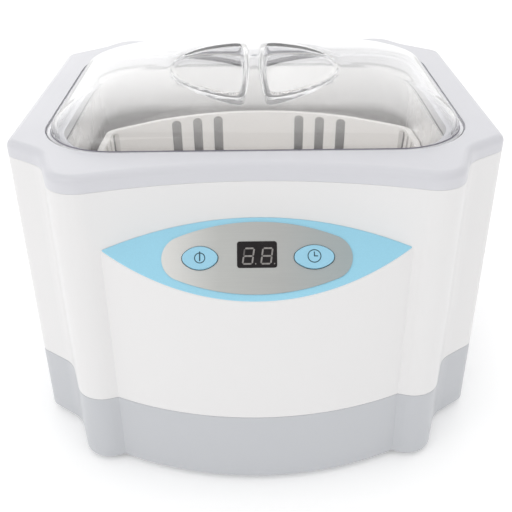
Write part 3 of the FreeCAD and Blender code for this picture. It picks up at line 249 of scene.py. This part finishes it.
# ferrite core: dark sintered grain
m = Mat("ferrite")
grains = m.noise(1400.0, 4.0, 0.7)
m.base(m.ramp(grains, [(0.3, rgb(42, 42, 45)), (0.7, rgb(72, 72, 76))]))
m.rough(m.span(grains, 0.3, 0.7, 0.5, 0.7))
m.normal(m.bump(grains, 0.02 * MM, 1.0))
MATS["ferrite"] = m.m

# piezo ceramic: matt fired body with faint pits
m = Mat("piezo_ceramic")
pits = m.noise(1100.0, 4.0, 0.65)
m.base(m.ramp(pits, [(0.3, rgb(150, 126, 88)), (0.7, rgb(176, 152, 112))]))
m.rough(m.span(pits, 0.3, 0.7, 0.55, 0.72))
m.normal(m.bump(pits, 0.012 * MM, 1.0))
MATS["piezo_ceramic"] = m.m

# capacitor sleeve: glossy black shrink film; a stripe ramp is built but not linked, so no stripe shows
m = Mat("can_black")
folds = m.noise(160.0, 3.0, 0.5, m.mapped((1, 1, 4)))
body = m.ramp(folds, [(0.3, rgb(24, 24, 28)), (0.7, rgb(38, 38, 44))])
stripe = m.ramp(m.axis("X"), [(0.0, 0.0), (0.5, 0.0)])
m.base(body)
m.rough(m.span(folds, 0.3, 0.7, 0.22, 0.36))
m.normal(m.bump(folds, 0.03 * MM, 1.0))
MATS["can_black"] = m.m

# green circuit board: solder mask over copper areas and tracks
m = Mat("board_green")
cells = m.voronoi(170.0, feature="DISTANCE_TO_EDGE")
track = m.ramp(cells, [(0.03, 1.0), (0.06, 0.0)])
weave = m.noise(2200.0, 2.0, 0.5)
mask = m.ramp(weave, [(0.3, rgb(20, 92, 54)), (0.7, rgb(28, 108, 64))])
m.base(m.mix(mask, rgb(52, 138, 84), track))
m.rough(m.span(weave, 0.3, 0.7, 0.28, 0.4))
m.normal(m.bump(track, 0.03 * MM, 1.0))
MATS["board_green"] = m.m

# earth lead: green with a yellow band
m = Mat("lead_green")
band = m.wave(60.0, m.mapped((1, 1, 1), (0.5, 0.4, 0.3)), direction="DIAGONAL")
m.base(m.mix(rgb(44, 128, 62), rgb(212, 196, 52), m.ramp(band, [(0.48, 0.0), (0.52, 1.0)])))
m.rough(m.span(m.noise(400.0), 0.3, 0.7, 0.36, 0.5))
m.normal(m.bump(m.noise(700.0), 0.01 * MM, 1.0))
MATS["lead_green"] = m.m

# ribbon cable: grey with a conductor every millimetre or so, with painted shade in the grooves between conductors
m = Mat("ribbon_grey")
ways_and_groove_shade = m.wave(290.0, direction="X")
# painted shade: darker grey in the grooves, following the bump
m.base(m.ramp(ways_and_groove_shade, [(0.0, rgb(128, 130, 134)), (0.5, rgb(176, 178, 182)), (1.0, rgb(186, 188, 192))]))
m.rough(m.span(m.noise(300.0), 0.3, 0.7, 0.4, 0.55))
m.normal(m.bump(ways_and_groove_shade, 0.15 * MM, 1.0))
MATS["ribbon_grey"] = m.m

# control panel: printed polyester film, satin, pale blue
m = Mat("label_blue")
dot = m.noise(1800.0, 3.0, 0.6)
wash = m.noise(30.0, 3.0, 0.5)
blue = rgb(153, 210, 232)
m.base(m.mix(m.ramp(wash, [(0.3, shade(blue, 0.97)), (0.7, shade(blue, 1.03))]), m.ramp(dot, [(0.3, shade(blue, 0.94)), (0.7, shade(blue, 1.05))]), 0.4))
m.rough(m.span(dot, 0.3, 0.7, 0.34, 0.46))
m.normal(m.bump(dot, 0.002 * MM, 1.0))
MATS["label_blue"] = m.m

m = Mat("key_blue")
keyc = rgb(152, 205, 228)
m.base(m.mix(m.ramp(m.noise(60.0), [(0.3, shade(keyc, 0.97)), (0.7, shade(keyc, 1.03))]), m.ramp(m.noise(1500.0), [(0.3, shade(keyc, 0.96)), (0.7, shade(keyc, 1.04))]), 0.4))
m.rough(m.span(m.noise(500.0), 0.3, 0.7, 0.30, 0.42))
m.normal(m.bump(m.noise(1400.0), 0.002 * MM, 1.0))
MATS["key_blue"] = m.m

# panel inlay: satin silver foil, rolled across, with a painted reflection in its colour: paler towards its left end,
# darker and blue-grey towards the right
m = Mat("inlay_silver")
# painted reflection: pale at the left end, darker and blue-grey at the right end
painted_reflection_ramp = m.ramp(m.span(m.axis("X"), -0.036, 0.036, 0.0, 1.0), [(0.0, rgb(216, 215, 212)), (0.30, rgb(184, 185, 182)), (0.62, rgb(176, 177, 175)), (1.0, rgb(162, 172, 173))])
brush = m.noise(1.0, 5.0, 0.7, m.mapped((60, 2200, 2200)))
m.base(m.mix(painted_reflection_ramp, m.ramp(brush, [(0.3, 0.42), (0.7, 0.58)]), 0.18, "OVERLAY"))
m.rough(m.span(brush, 0.25, 0.75, 0.30, 0.44))
m.set("Metallic", 0.35)
m.normal(m.bump(brush, 0.002 * MM, 1.0))
MATS["inlay_silver"] = m.m

# display window: smoked acrylic
m = Mat("window_black")
smear = m.noise(120.0, 4.0, 0.6)
m.base(m.ramp(smear, [(0.3, rgb(22, 19, 20)), (0.7, rgb(32, 28, 29))]))
m.rough(m.span(smear, 0.3, 0.7, 0.2, 0.3))
m.normal(m.bump(m.noise(500.0), 0.002 * MM, 1.0))
m.set("IOR", 1.3)
MATS["window_black"] = m.m

# digits behind the window: unlit diffuser bars
m = Mat("segment_grey")
m.base(m.ramp(m.noise(900.0), [(0.3, rgb(122, 118, 116)), (0.7, rgb(150, 146, 143))]))
m.rough(m.span(m.noise(500.0), 0.3, 0.7, 0.4, 0.5))
m.normal(m.bump(m.noise(1500.0), 0.003 * MM, 1.0))
SEGMENT = m.m
m = Mat("segment_dim")
m.base(m.ramp(m.noise(900.0), [(0.3, rgb(72, 68, 68)), (0.7, rgb(88, 84, 83))]))
m.rough(m.span(m.noise(500.0), 0.3, 0.7, 0.4, 0.5))
m.normal(m.bump(m.noise(1500.0), 0.003 * MM, 1.0))
SEGMENT_DIM = m.m

# symbols on the keys: screen-printed dark teal ink
m = Mat("ink_teal")
ink = m.noise(2400.0, 3.0, 0.6)
m.base(m.ramp(ink, [(0.3, rgb(30, 62, 76)), (0.7, rgb(44, 80, 94))]))
m.rough(m.span(ink, 0.3, 0.7, 0.4, 0.55))
m.normal(m.bump(ink, 0.004 * MM, 1.0))
INK = m.m

# lid: clear acrylic, with the faint unevenness of a moulding
m = Mat("clear_lid")
m.set("Base Color", (0.965, 0.965, 0.97, 1))
m.set("Transmission Weight", 0.95)
m.set("IOR", 1.22)
m.set("Coat Weight", 1.0)
m.set("Coat Roughness", 0.03)
flow = m.noise(22.0, 2.0, 0.4)
m.rough(m.span(flow, 0.3, 0.7, 0.02, 0.045))
m.normal(m.bump(flow, 0.02 * MM, 1.0))
# light reaches the bath through the lid
path = m.nt.nodes.new("ShaderNodeLightPath")
clear = m.nt.nodes.new("ShaderNodeBsdfTransparent")
clear.inputs["Color"].default_value = (0.97, 0.97, 0.975, 1)
blend = m.nt.nodes.new("ShaderNodeMixShader")
m.link(path.outputs["Is Shadow Ray"], blend.inputs[0])
m.link(m.p.outputs[0], blend.inputs[1])
m.link(clear.outputs[0], blend.inputs[2])
m.link(blend.outputs[0], m.out.inputs["Surface"])
MATS["clear_lid"] = m.m

# bath: glossy white above a wobbly line at about 108 mm, with painted shade below it: grey-white standing in for the
# shadow in the narrow gap between basket and tank
m = Mat("bath_white")
mark = m.noise(40.0, 3.0, 0.6)
height = m.add(m.axis("Z"), m.add(m.add(mark, 0.5, "SUBTRACT"), 0.002, "MULTIPLY"))
# painted shade: grey-white below the line, white above it
bath_colour_with_painted_shade = m.mix(m.ramp(mark, [(0.3, rgb(152, 148, 145)), (0.7, rgb(160, 156, 153))]), m.ramp(mark, [(0.3, rgb(244, 243, 241)), (0.7, rgb(248, 247, 245))]), m.span(height, 0.108, 0.1125, 0.0, 1.0))
m.base(bath_colour_with_painted_shade)
m.rough(m.span(m.noise(60.0), 0.3, 0.7, 0.2, 0.32))
m.normal(m.bump(m.noise(260.0, 1.0, 0.4), 0.004 * MM, 1.0))
m.set("Coat Weight", 0.2)
MATS["bath_white"] = m.m

for name, o in NODES.items():
    for s in o.material_slots:
        key = s.material.name.split(".")[0] if s.material else ""
        if key in MATS:
            s.material = MATS[key]
        else:
            raise SystemExit("no look for slot %r of %s" % (key, name))


# --------------------------------------------------------------- panel details
PANEL = Vector((0, -80.27, 115.6))
UP = Vector((0, 0.68530, 0.72826))
OUT = Vector((0, -0.72826, 0.68530))


def pp(u, v, w):
    return (PANEL + Vector((1, 0, 0)) * u + UP * v + OUT * w) * MM


def flat_piece(name, outlines, w0, w1, mat, body, bevel=0.03):
    """Thin raised print or inlay: closed outlines in panel mm (outer first, then holes), from height w0 to w1."""
    bm = bmesh.new()
    for rings in outlines:
        low = [[bm.verts.new(pp(u, v, w0)) for u, v in ring] for ring in rings]
        high = [[bm.verts.new(pp(u, v, w1)) for u, v in ring] for ring in rings]
        for a, b in zip(low, high):
            n = len(a)
            for i in range(n):
                bm.faces.new((a[i], a[(i + 1) % n], b[(i + 1) % n], b[i]))
        if len(rings) == 1:
            bm.faces.new(high[0])
            bm.faces.new(list(reversed(low[0])))
        else:
            for lev, flip in ((high, False), (low, True)):
                a, b = lev[0], lev[1]
                n = len(a)
                for i in range(n):
                    f = (a[i], a[(i + 1) % n], b[(i + 1) % n], b[i])
                    bm.faces.new(tuple(reversed(f)) if flip else f)
    bmesh.ops.recalc_face_normals(bm, faces=bm.faces)
    me = bpy.data.meshes.new(name)
    bm.to_mesh(me)
    bm.free()
    me.materials.append(mat)
    o = bpy.data.objects.new(name, me)
    bpy.context.scene.collection.objects.link(o)
    if bevel:
        b = o.modifiers.new("edge", "BEVEL")
        b.width = bevel * MM
        b.segments = 2
        b.limit_method = "ANGLE"
    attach(o, body)
    return o


def ring(cu, cv, r, n=48, start=0.0, stop=360.0):
    return [(cu + r * math.cos(math.radians(start + (stop - start) * i / n)), cv + r * math.sin(math.radians(start + (stop - start) * i / n))) for i in range(n)]


def bar(u0, v0, u1, v1, t):
    d = Vector((u1 - u0, v1 - v0)).normalized()
    s = Vector((-d.y, d.x)) * t / 2
    pts = []
    a = math.atan2(d.y, d.x)
    for k in range(7):
        q = a + math.pi / 2 + math.pi * k / 6
        pts.append((u0 + math.cos(q) * t / 2, v0 + math.sin(q) * t / 2))
    for k in range(7):
        q = a - math.pi / 2 + math.pi * k / 6
        pts.append((u1 + math.cos(q) * t / 2, v1 + math.sin(q) * t / 2))
    return pts


KEY_TOP = 1.25
# power symbol
flat_piece("power_symbol", [[ring(-21.5, -15.9, 2.1), ring(-21.5, -15.9, 1.72)], [bar(-21.5, -16.9, -21.5, -13.6, 0.5)]], KEY_TOP - 0.02, KEY_TOP + 0.02, INK, "power_key", 0)
# clock symbol
flat_piece(
    "clock_symbol",
    [[ring(21.5, -15.6, 2.6), ring(21.5, -15.6, 2.22)], [bar(21.5, -15.6, 21.5, -14.1, 0.42)], [bar(21.5, -15.6, 22.7, -15.6, 0.42)]],
    KEY_TOP - 0.02,
    KEY_TOP + 0.02,
    INK,
    "timer_key",
    0,
)

# seven-segment digits
def segments(u0, u1, v0, v1, t=0.62, gap=0.12, lean=0.14):
    """Six-sided bars of one slanted digit; u0..u1 is its width at the foot line, v0 its foot and v1 its head."""
    w, h = u1 - u0 - lean * (v1 - v0), v1 - v0
    mid = h / 2

    def place_at(p):
        return (u0 + p[0] + lean * p[1], v0 + p[1])

    def hbar(y):
        a, b = t / 2 + gap, w - t / 2 - gap
        return [(a, y), (a + t / 2, y + t / 2), (b - t / 2, y + t / 2), (b, y), (b - t / 2, y - t / 2), (a + t / 2, y - t / 2)]

    def vbar(x, y0, y1):
        a, b = y0 + gap, y1 - gap
        return [(x, a), (x + t / 2, a + t / 2), (x + t / 2, b - t / 2), (x, b), (x - t / 2, b - t / 2), (x - t / 2, a + t / 2)]

    bars = {
        "a": hbar(h - t / 2),
        "g": hbar(mid),
        "d": hbar(t / 2),
        "f": vbar(t / 2, mid, h - t / 2),
        "b": vbar(w - t / 2, mid, h - t / 2),
        "e": vbar(t / 2, t / 2, mid),
        "c": vbar(w - t / 2, t / 2, mid),
    }
    return {k: [place_at(p) for p in v] for k, v in bars.items()}


WIN = 0.45
left = segments(-5.8, -0.7, -18.5, -11.9)
right = segments(1.1, 6.3, -18.5, -11.9)
flat_piece("digit_left", [[left[k]] for k in "abcdeg"] + [[ring(-0.55, -18.2, 0.24, 16)]], WIN - 0.02, WIN + 0.015, SEGMENT, "case", 0)
flat_piece("digit_left_dim", [[left["f"]]], WIN - 0.02, WIN + 0.015, SEGMENT_DIM, "case", 0)
flat_piece("digit_right", [[right[k]] for k in "abcdefg"] + [[ring(6.55, -18.2, 0.24, 16)]], WIN - 0.02, WIN + 0.015, SEGMENT, "case", 0)

# ------------------------------------------------------------------------- lid
# A clear shell 2 mm thick: brim, steep wall, soft shoulders and a shallow dome,
# with two D-shaped finger scoops that deepen towards the grip ridge between them.
BY = 4.65
GRIP = (0.0, -3.77)
GRIP_R = 35.5
POW = 2.3
FOOT, RISE = 137.2, 16.7


# grey band in the corner between the wall and the brim: painted shade standing in for the dark shadow line of the seat
# around the lid
m = Mat("brim_shade_band")
m.base(m.ramp(m.noise(700.0), [(0.3, rgb(120, 117, 128)), (0.7, rgb(140, 137, 148))]))
m.rough(m.span(m.noise(300.0), 0.3, 0.7, 0.45, 0.6))
m.normal(m.bump(m.noise(1500.0), 0.01 * MM, 1.0))
BRIM_SHADE_BAND = m.m


def outline(w, h, r, n_side=30, n_corner=32):
    pts = []
    q = math.pi / 2
    corners = ((w - r, -(h - r), -q), (w - r, h - r, 0.0), (-(w - r), h - r, q), (-(w - r), -(h - r), 2 * q))
    for k, (cx, cy, a) in enumerate(corners):
        for i in range(n_corner):
            t = a + q * i / n_corner
            pts.append((cx + r * math.cos(t), BY + cy + r * math.sin(t)))
        nx, ny, na = corners[(k + 1) % 4]
        x0, y0 = cx + r * math.cos(a + q), cy + r * math.sin(a + q)
        x1, y1 = nx + r * math.cos(na), ny + r * math.sin(na)
        for i in range(n_side):
            f = i / n_side
            pts.append((x0 + (x1 - x0) * f, BY + y0 + (y1 - y0) * f))
    return pts


def dome_z(x, y, d):
    """Height of the dome's outer (d = 0) or inner (d = 2) skin."""
    X, Y = np.abs(np.asarray(x, float)), np.abs(np.asarray(y, float) - BY)
    w0, h0 = 84.2 - d, 70.1 - d
    rho0 = (29.5 - d) / h0
    lo, hi = np.zeros_like(X), np.ones_like(X) * 1.02
    for _ in range(40):
        s = (lo + hi) / 2
        w, h = w0 * s, h0 * s
        r = h * (rho0 + (0.98 - rho0) * (1 - np.minimum(s, 1) ** 2))
        qx, qy = X - w + r, Y - h + r
        sd = np.hypot(np.maximum(qx, 0), np.maximum(qy, 0)) + np.minimum(np.maximum(qx, qy), 0) - r
        lo = np.where(sd > 0, s, lo)
        hi = np.where(sd > 0, hi, s)
    s = np.clip((lo + hi) / 2, 0, 1)
    return FOOT + (RISE - d) * (1 - s**POW) ** (1 / POW)


def ridge_half(y, d):
    return 4.75 + 1.55 * ((y - GRIP[1]) / GRIP_R) ** 2 - d


def scoop_floor(x, d):
    return 147.3 + 5.0 * np.clip((np.abs(x) - 5.0) / 30.5, 0, 1.2) ** 1.15 - d


def scoop_loop(sign, d):
    """Closed outline of one finger scoop, anticlockwise, with rounded corners."""
    R = GRIP_R + d
    y = R
    for _ in range(30):
        y = math.sqrt(R * R - ridge_half(GRIP[1] + y, d) ** 2)
    a = math.atan2(y, ridge_half(GRIP[1] + y, d))
    pts = [(R * math.cos(-a + 2 * a * i / 110), GRIP[1] + R * math.sin(-a + 2 * a * i / 110)) for i in range(110)]
    pts += [(ridge_half(GRIP[1] + y * (1 - 2 * i / 60), d), GRIP[1] + y * (1 - 2 * i / 60)) for i in range(60)]
    p = np.array(pts)
    n = len(p)
    weight = np.zeros(n)
    for c in (0, 110):
        for k in range(-4, 5):
            weight[(c + k) % n] = 1
    for _ in range(14):
        avg = (np.roll(p, 1, 0) + np.roll(p, -1, 0)) / 2
        p = p + (avg - p) * weight[:, None] * 0.5
    if sign < 0:
        p = p[::-1] * np.array([-1, 1])
    t = np.roll(p, -1, 0) - np.roll(p, 1, 0)
    t /= np.linalg.norm(t, axis=1)[:, None]
    return p, np.stack([t[:, 1], -t[:, 0]], 1)


SHOULDER = (1.5, 3, 4.5, 6, 7.5, 9, 11, 13, 15, 17, 19, 21, 23, 25, 27, 29, 31, 33, 35, 37, 39, 41, 43, 45)


def ring_of(phi, d):
    s_ = math.cos(math.radians(phi)) ** (2 / POW)
    w, h = (84.2 - d) * s_, (70.1 - d) * s_
    rho = (29.5 - d) / (70.1 - d)
    return outline(w, h, h * (rho + (0.98 - rho) * (1 - s_ * s_)))


def level_of(phi, d):
    return FOOT + (RISE - d) * math.sin(math.radians(phi)) ** (2 / POW)


def skin(d):
    """Points and triangles of the outer (d = 0) or inner (d = 2) face inside the wall outline; the first points are that outline."""
    rim = ring_of(SHOULDER[-1], d)
    pts, zs, edges = [], [], []

    def loop(ring, z):
        b = len(pts)
        pts.extend((float(a[0]), float(a[1])) for a in ring)
        zs.extend(float(v) for v in z)
        edges.extend((b + i, b + (i + 1) % len(ring)) for i in range(len(ring)))

    loop(rim, [level_of(SHOULDER[-1], d)] * len(rim))
    phis = [49, 53, 57, 61, 65, 69, 73, 77, 81, 85]
    taken = []
    for side_ in (1, -1):
        base_loop, nrm = scoop_loop(side_, d)
        for off, drop, from_floor in (
            (1.0, 0.0, False),
            (0.55, 0.10, False),
            (0.28, 0.28, False),
            (0.10, 0.62, False),
            (-0.10, 0.62, True),
            (-0.28, 0.28, True),
            (-0.60, 0.08, True),
            (-1.10, 0.0, True),
        ):
            q = base_loop + nrm * off
            top, low = dome_z(q[:, 0], q[:, 1], d), scoop_floor(q[:, 0], d)
            low = np.minimum(low, top)
            half = (top - low) / 2
            z = low + np.minimum(drop, half) if from_floor else top - np.minimum(drop, half)
            loop(q, z)
        taken.append(base_loop)
    n_loops = len(pts)

    def inside_scoop(x, y, grow):
        r = math.hypot(x, y - GRIP[1])
        return r < GRIP_R + d + grow and abs(x) > ridge_half(y, d) - grow

    w0, h0 = 84.2 - d, 70.1 - d
    rho0 = (29.5 - d) / h0
    for phi in phis:
        s = math.cos(math.radians(phi)) ** (2 / POW)
        w, h = w0 * s, h0 * s
        r = h * (rho0 + (0.98 - rho0) * (1 - s * s))
        k = max(4, int(30 * s))
        for x, y in outline(w, h, r, k, max(4, int(32 * s))):
            if not inside_scoop(x, y, 2.0) and not (math.hypot(x, y - GRIP[1]) < GRIP_R + d + 3 and abs(x) < 9):
                pts.append((x, y))
                zs.append(float(dome_z([x], [y], d)[0]))
    # ridge and the dome just in front of and behind it
    y = GRIP[1] - GRIP_R - 2.0
    while y < GRIP[1] + GRIP_R + 2.1:
        for f in (-0.6, -0.2, 0.2, 0.6):
            x = f * (ridge_half(y, d) - 1.0)
            pts.append((x, y))
            zs.append(float(dome_z([x], [y], d)[0]))
        y += 1.6
    # scoop floors
    for i in range(-18, 19):
        for j in range(-18, 19):
            x, y = i * 2.1, GRIP[1] + j * 2.1 + (i % 2) * 1.05
            r = math.hypot(x, y - GRIP[1])
            if r < GRIP_R + d - 2.2 and abs(x) > ridge_half(y, d) + 2.2:
                pts.append((x, y))
                zs.append(float(min(scoop_floor(x, d), dome_z([x], [y], d)[0])))
    out = delaunay_2d_cdt([Vector(q) for q in pts], edges, [], 1, 1e-5)
    co, tri, orig = out[0], out[2], out[3]
    order = {}
    z_of, where = [], [None] * len(co)
    for i, src in enumerate(orig):
        z_of.append(zs[src[0]] if src else float(dome_z([co[i].x], [co[i].y], d)[0]))
        for k in src:
            order[k] = i
    faces = [tuple(t) for t in tri]
    points = [(co[i].x, co[i].y, z_of[i]) for i in range(len(co))]
    return points, faces, [order[i] for i in range(len(rim))]


def lid_mesh():
    bm = bmesh.new()
    rings = {}
    for d, flip in ((0.0, False), (2.0, True)):
        points, faces, rim = skin(d)
        vs = [bm.verts.new((x * MM, y * MM, z * MM)) for x, y, z in points]
        for f in faces:
            a = [vs[i] for i in f]
            area2 = (a[1].co.x - a[0].co.x) * (a[2].co.y - a[0].co.y) - (a[2].co.x - a[0].co.x) * (a[1].co.y - a[0].co.y)
            if (area2 < 0) != flip:
                a.reverse()
            bm.faces.new(a)
        rings[d] = [vs[i] for i in rim]
        for phi in reversed((0.0,) + SHOULDER[:-1]):
            z = level_of(phi, d)
            cur = [bm.verts.new((x * MM, y * MM, z * MM)) for x, y in ring_of(phi, d)]
            for i in range(len(cur)):
                j = (i + 1) % len(cur)
                bm.faces.new((rings[d][i], cur[i], cur[j], rings[d][j]))
            rings[d] = cur

    def ring_at(grow, z):
        return [bm.verts.new((x * MM, y * MM, z * MM)) for x, y in outline(84.2 + grow, 70.1 + grow, 29.5 + grow)]

    chain = [rings[0.0]]
    for grow, z in ((0.05, 137.05), (0.18, 136.88), (0.4, 136.8), (1.5, 136.8), (1.8, 136.72), (1.97, 136.5), (2.0, 136.2), (2.0, 135.4), (1.93, 135.1), (1.7, 134.93), (1.4, 134.9), (0.8, 134.9), (-1.4, 134.9), (-1.8, 134.95), (-1.97, 135.15), (-2.0, 135.5)):
        chain.append(ring_at(grow, z))
    chain.append(rings[2.0])
    n = len(chain[0])
    for k, (a, b) in enumerate(zip(chain, chain[1:])):
        for i in range(n):
            f = bm.faces.new((a[i], b[i], b[(i + 1) % n], a[(i + 1) % n]))
            # the three bands at the foot of the wall get the grey painted shade band
            f.material_index = 1 if k <= 2 else 0
    loose = [v for v in bm.verts if not v.link_faces]
    bmesh.ops.delete(bm, geom=loose, context="VERTS")
    bmesh.ops.recalc_face_normals(bm, faces=bm.faces)
    for f in bm.faces:
        f.smooth = True
    me = bpy.data.meshes.new("lid_shell")
    bm.to_mesh(me)
    bm.free()
    me.materials.append(MATS["clear_lid"])
    me.materials.append(BRIM_SHADE_BAND)
    return me


lid = bpy.data.objects.new("lid_shell", lid_mesh())
bpy.context.scene.collection.objects.link(lid)
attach(lid, "lid_body")
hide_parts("lid")

# moulding gate mark on top of the ridge
bm = bmesh.new()
gy0, gz0 = 6.4, 153.79
prof = ((0.0, 0.16), (0.35, 0.15), (0.62, 0.06), (0.8, 0.10), (1.05, 0.20), (1.25, 0.12), (1.4, -0.05))
tip = bm.verts.new((0, gy0 * MM, (gz0 + prof[0][1]) * MM))
last = None
for r_, h_ in prof[1:]:
    cur = [bm.verts.new((r_ * math.cos(2 * math.pi * i / 28) * MM, (gy0 + r_ * math.sin(2 * math.pi * i / 28)) * MM, (gz0 + h_) * MM)) for i in range(28)]
    for i in range(28):
        if last is None:
            bm.faces.new((tip, cur[i], cur[(i + 1) % 28]))
        else:
            bm.faces.new((last[i], cur[i], cur[(i + 1) % 28], last[(i + 1) % 28]))
    last = cur
bm.faces.new(list(reversed(last)))
bmesh.ops.recalc_face_normals(bm, faces=bm.faces)
for f in bm.faces:
    f.smooth = len(f.verts) <= 4
me = bpy.data.meshes.new("gate_mark")
bm.to_mesh(me)
bm.free()
m = Mat("gate_frost")
m.base(m.ramp(m.noise(1800.0), [(0.3, rgb(150, 152, 156)), (0.7, rgb(188, 190, 194))]))
m.rough(m.span(m.noise(900.0), 0.3, 0.7, 0.4, 0.6))
m.normal(m.bump(m.noise(2200.0), 0.01 * MM, 1.0))
me.materials.append(m.m)
gate = bpy.data.objects.new("gate_mark", me)
bpy.context.scene.collection.objects.link(gate)
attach(gate, "lid_body")

# ------------------------------------------------------------- floor and world
WORLD_BASE, WORLD_GLOW, WORLD_REAR = 0.86, 0.26, 0.34
bm = bmesh.new()
bmesh.ops.create_grid(bm, x_segments=1, y_segments=1, size=6.0)
me = bpy.data.meshes.new("floor")
bm.to_mesh(me)
bm.free()
floor = bpy.data.objects.new("floor", me)
bpy.context.scene.collection.objects.link(floor)
floor.location = (0, 0, -0.0002)
m = Mat("floor_pale")
m.base(m.ramp(m.noise(3.0), [(0.3, (0.95, 0.95, 0.95, 1)), (0.7, (0.97, 0.97, 0.97, 1))]))
m.rough(0.9)
m.set("Emission Color", (1, 1, 1, 1))
m.set("Emission Strength", 0.16)
me.materials.append(m.m)

world = bpy.data.worlds.new("studio")
bpy.context.scene.world = world
world.use_nodes = True
wt = world.node_tree
bg = wt.nodes["Background"]
bg.inputs["Strength"].default_value = 1.0


def wnode(kind, **inputs):
    n = wt.nodes.new(kind)
    for k, v in inputs.items():
        sock = n.inputs[int(k[1:])] if k[0] == "i" and k[1:].isdigit() else n.inputs[k]
        if hasattr(v, "is_output"):
            wt.links.new(v, sock)
        else:
            sock.default_value = v
    return n


# an even white studio, with one soft bright panel behind and to the left
ray = wnode("ShaderNodeTexCoord").outputs["Generated"]
soft = wnode("ShaderNodeVectorMath", i0=ray, i1=Vector((-0.34, 0.90, 0.27)).normalized())
soft.operation = "DOT_PRODUCT"
glow = wnode("ShaderNodeMapRange", i0=soft.outputs["Value"], i1=0.90, i2=0.995, i3=0.0, i4=1.0)
glow.interpolation_type = "SMOOTHERSTEP"
level = wnode("ShaderNodeMath", i0=glow.outputs[0], i1=WORLD_GLOW)
level.operation = "MULTIPLY"
rear = wnode("ShaderNodeVectorMath", i0=ray, i1=Vector((0.10, 0.96, 0.26)).normalized())
rear.operation = "DOT_PRODUCT"
wide = wnode("ShaderNodeMapRange", i0=rear.outputs["Value"], i1=0.70, i2=0.96, i3=0.0, i4=WORLD_REAR)
wide.interpolation_type = "SMOOTHERSTEP"
both = wnode("ShaderNodeMath", i0=level.outputs[0], i1=wide.outputs[0])
both.operation = "ADD"
lean = wnode("ShaderNodeVectorMath", i0=ray, i1=Vector((-0.09, 0.0, 0.0)))
lean.operation = "DOT_PRODUCT"
tilt = wnode("ShaderNodeMath", i0=both.outputs[0], i1=lean.outputs["Value"])
tilt.operation = "ADD"
total = wnode("ShaderNodeMath", i0=tilt.outputs[0], i1=WORLD_BASE)
total.operation = "ADD"
wt.links.new(total.outputs[0], bg.inputs["Color"])


def area(name, loc, target, size, power, colour=(1, 1, 1)):
    l = bpy.data.lights.new(name, "AREA")
    l.shape = "RECTANGLE"
    l.size, l.size_y = size
    l.energy = power
    l.color = colour
    o = bpy.data.objects.new(name, l)
    bpy.context.scene.collection.objects.link(o)
    o.location = loc
    o.rotation_mode = "QUATERNION"
    o.rotation_quaternion = (Vector(target) - Vector(loc)).to_track_quat("-Z", "Y")
    return o


area("key", (-0.9, -1.1, 1.5), (0, 0, 0.08), (1.2, 1.2), 3.5)
area("top", (0.15, 0.2, 1.7), (0, 0, 0.1), (1.6, 1.2), 3)

# ---------------------------------------------------------------------- camera
cam = bpy.data.cameras.new("camera")
cam.lens = 54.595
cam.sensor_width = 36.0
cam.clip_start = 0.01
cam.clip_end = 50
camera = bpy.data.objects.new("camera", cam)
bpy.context.scene.collection.objects.link(camera)
yaw, pitch, roll = (math.radians(a) for a in (0.24454505, 29.77749867, -0.52985030))
fwd = Vector((math.sin(yaw) * math.cos(pitch), math.cos(yaw) * math.cos(pitch), -math.sin(pitch)))
side = Vector((math.cos(yaw), -math.sin(yaw), 0))
up = side.cross(fwd)
r2 = side * math.cos(roll) + up * math.sin(roll)
u2 = up * math.cos(roll) - side * math.sin(roll)
camera.matrix_world = Matrix(
    (
        (r2.x, u2.x, -fwd.x, -0.00148365),
        (r2.y, u2.y, -fwd.y, -0.34413163),
        (r2.z, u2.z, -fwd.z, 0.24968085),
        (0, 0, 0, 1),
    )
)
bpy.context.scene.camera = camera
bpy.context.scene.view_settings.view_transform = "Standard"
bpy.context.scene.view_settings.look = "None"
bpy.context.scene.view_settings.exposure = 0.0
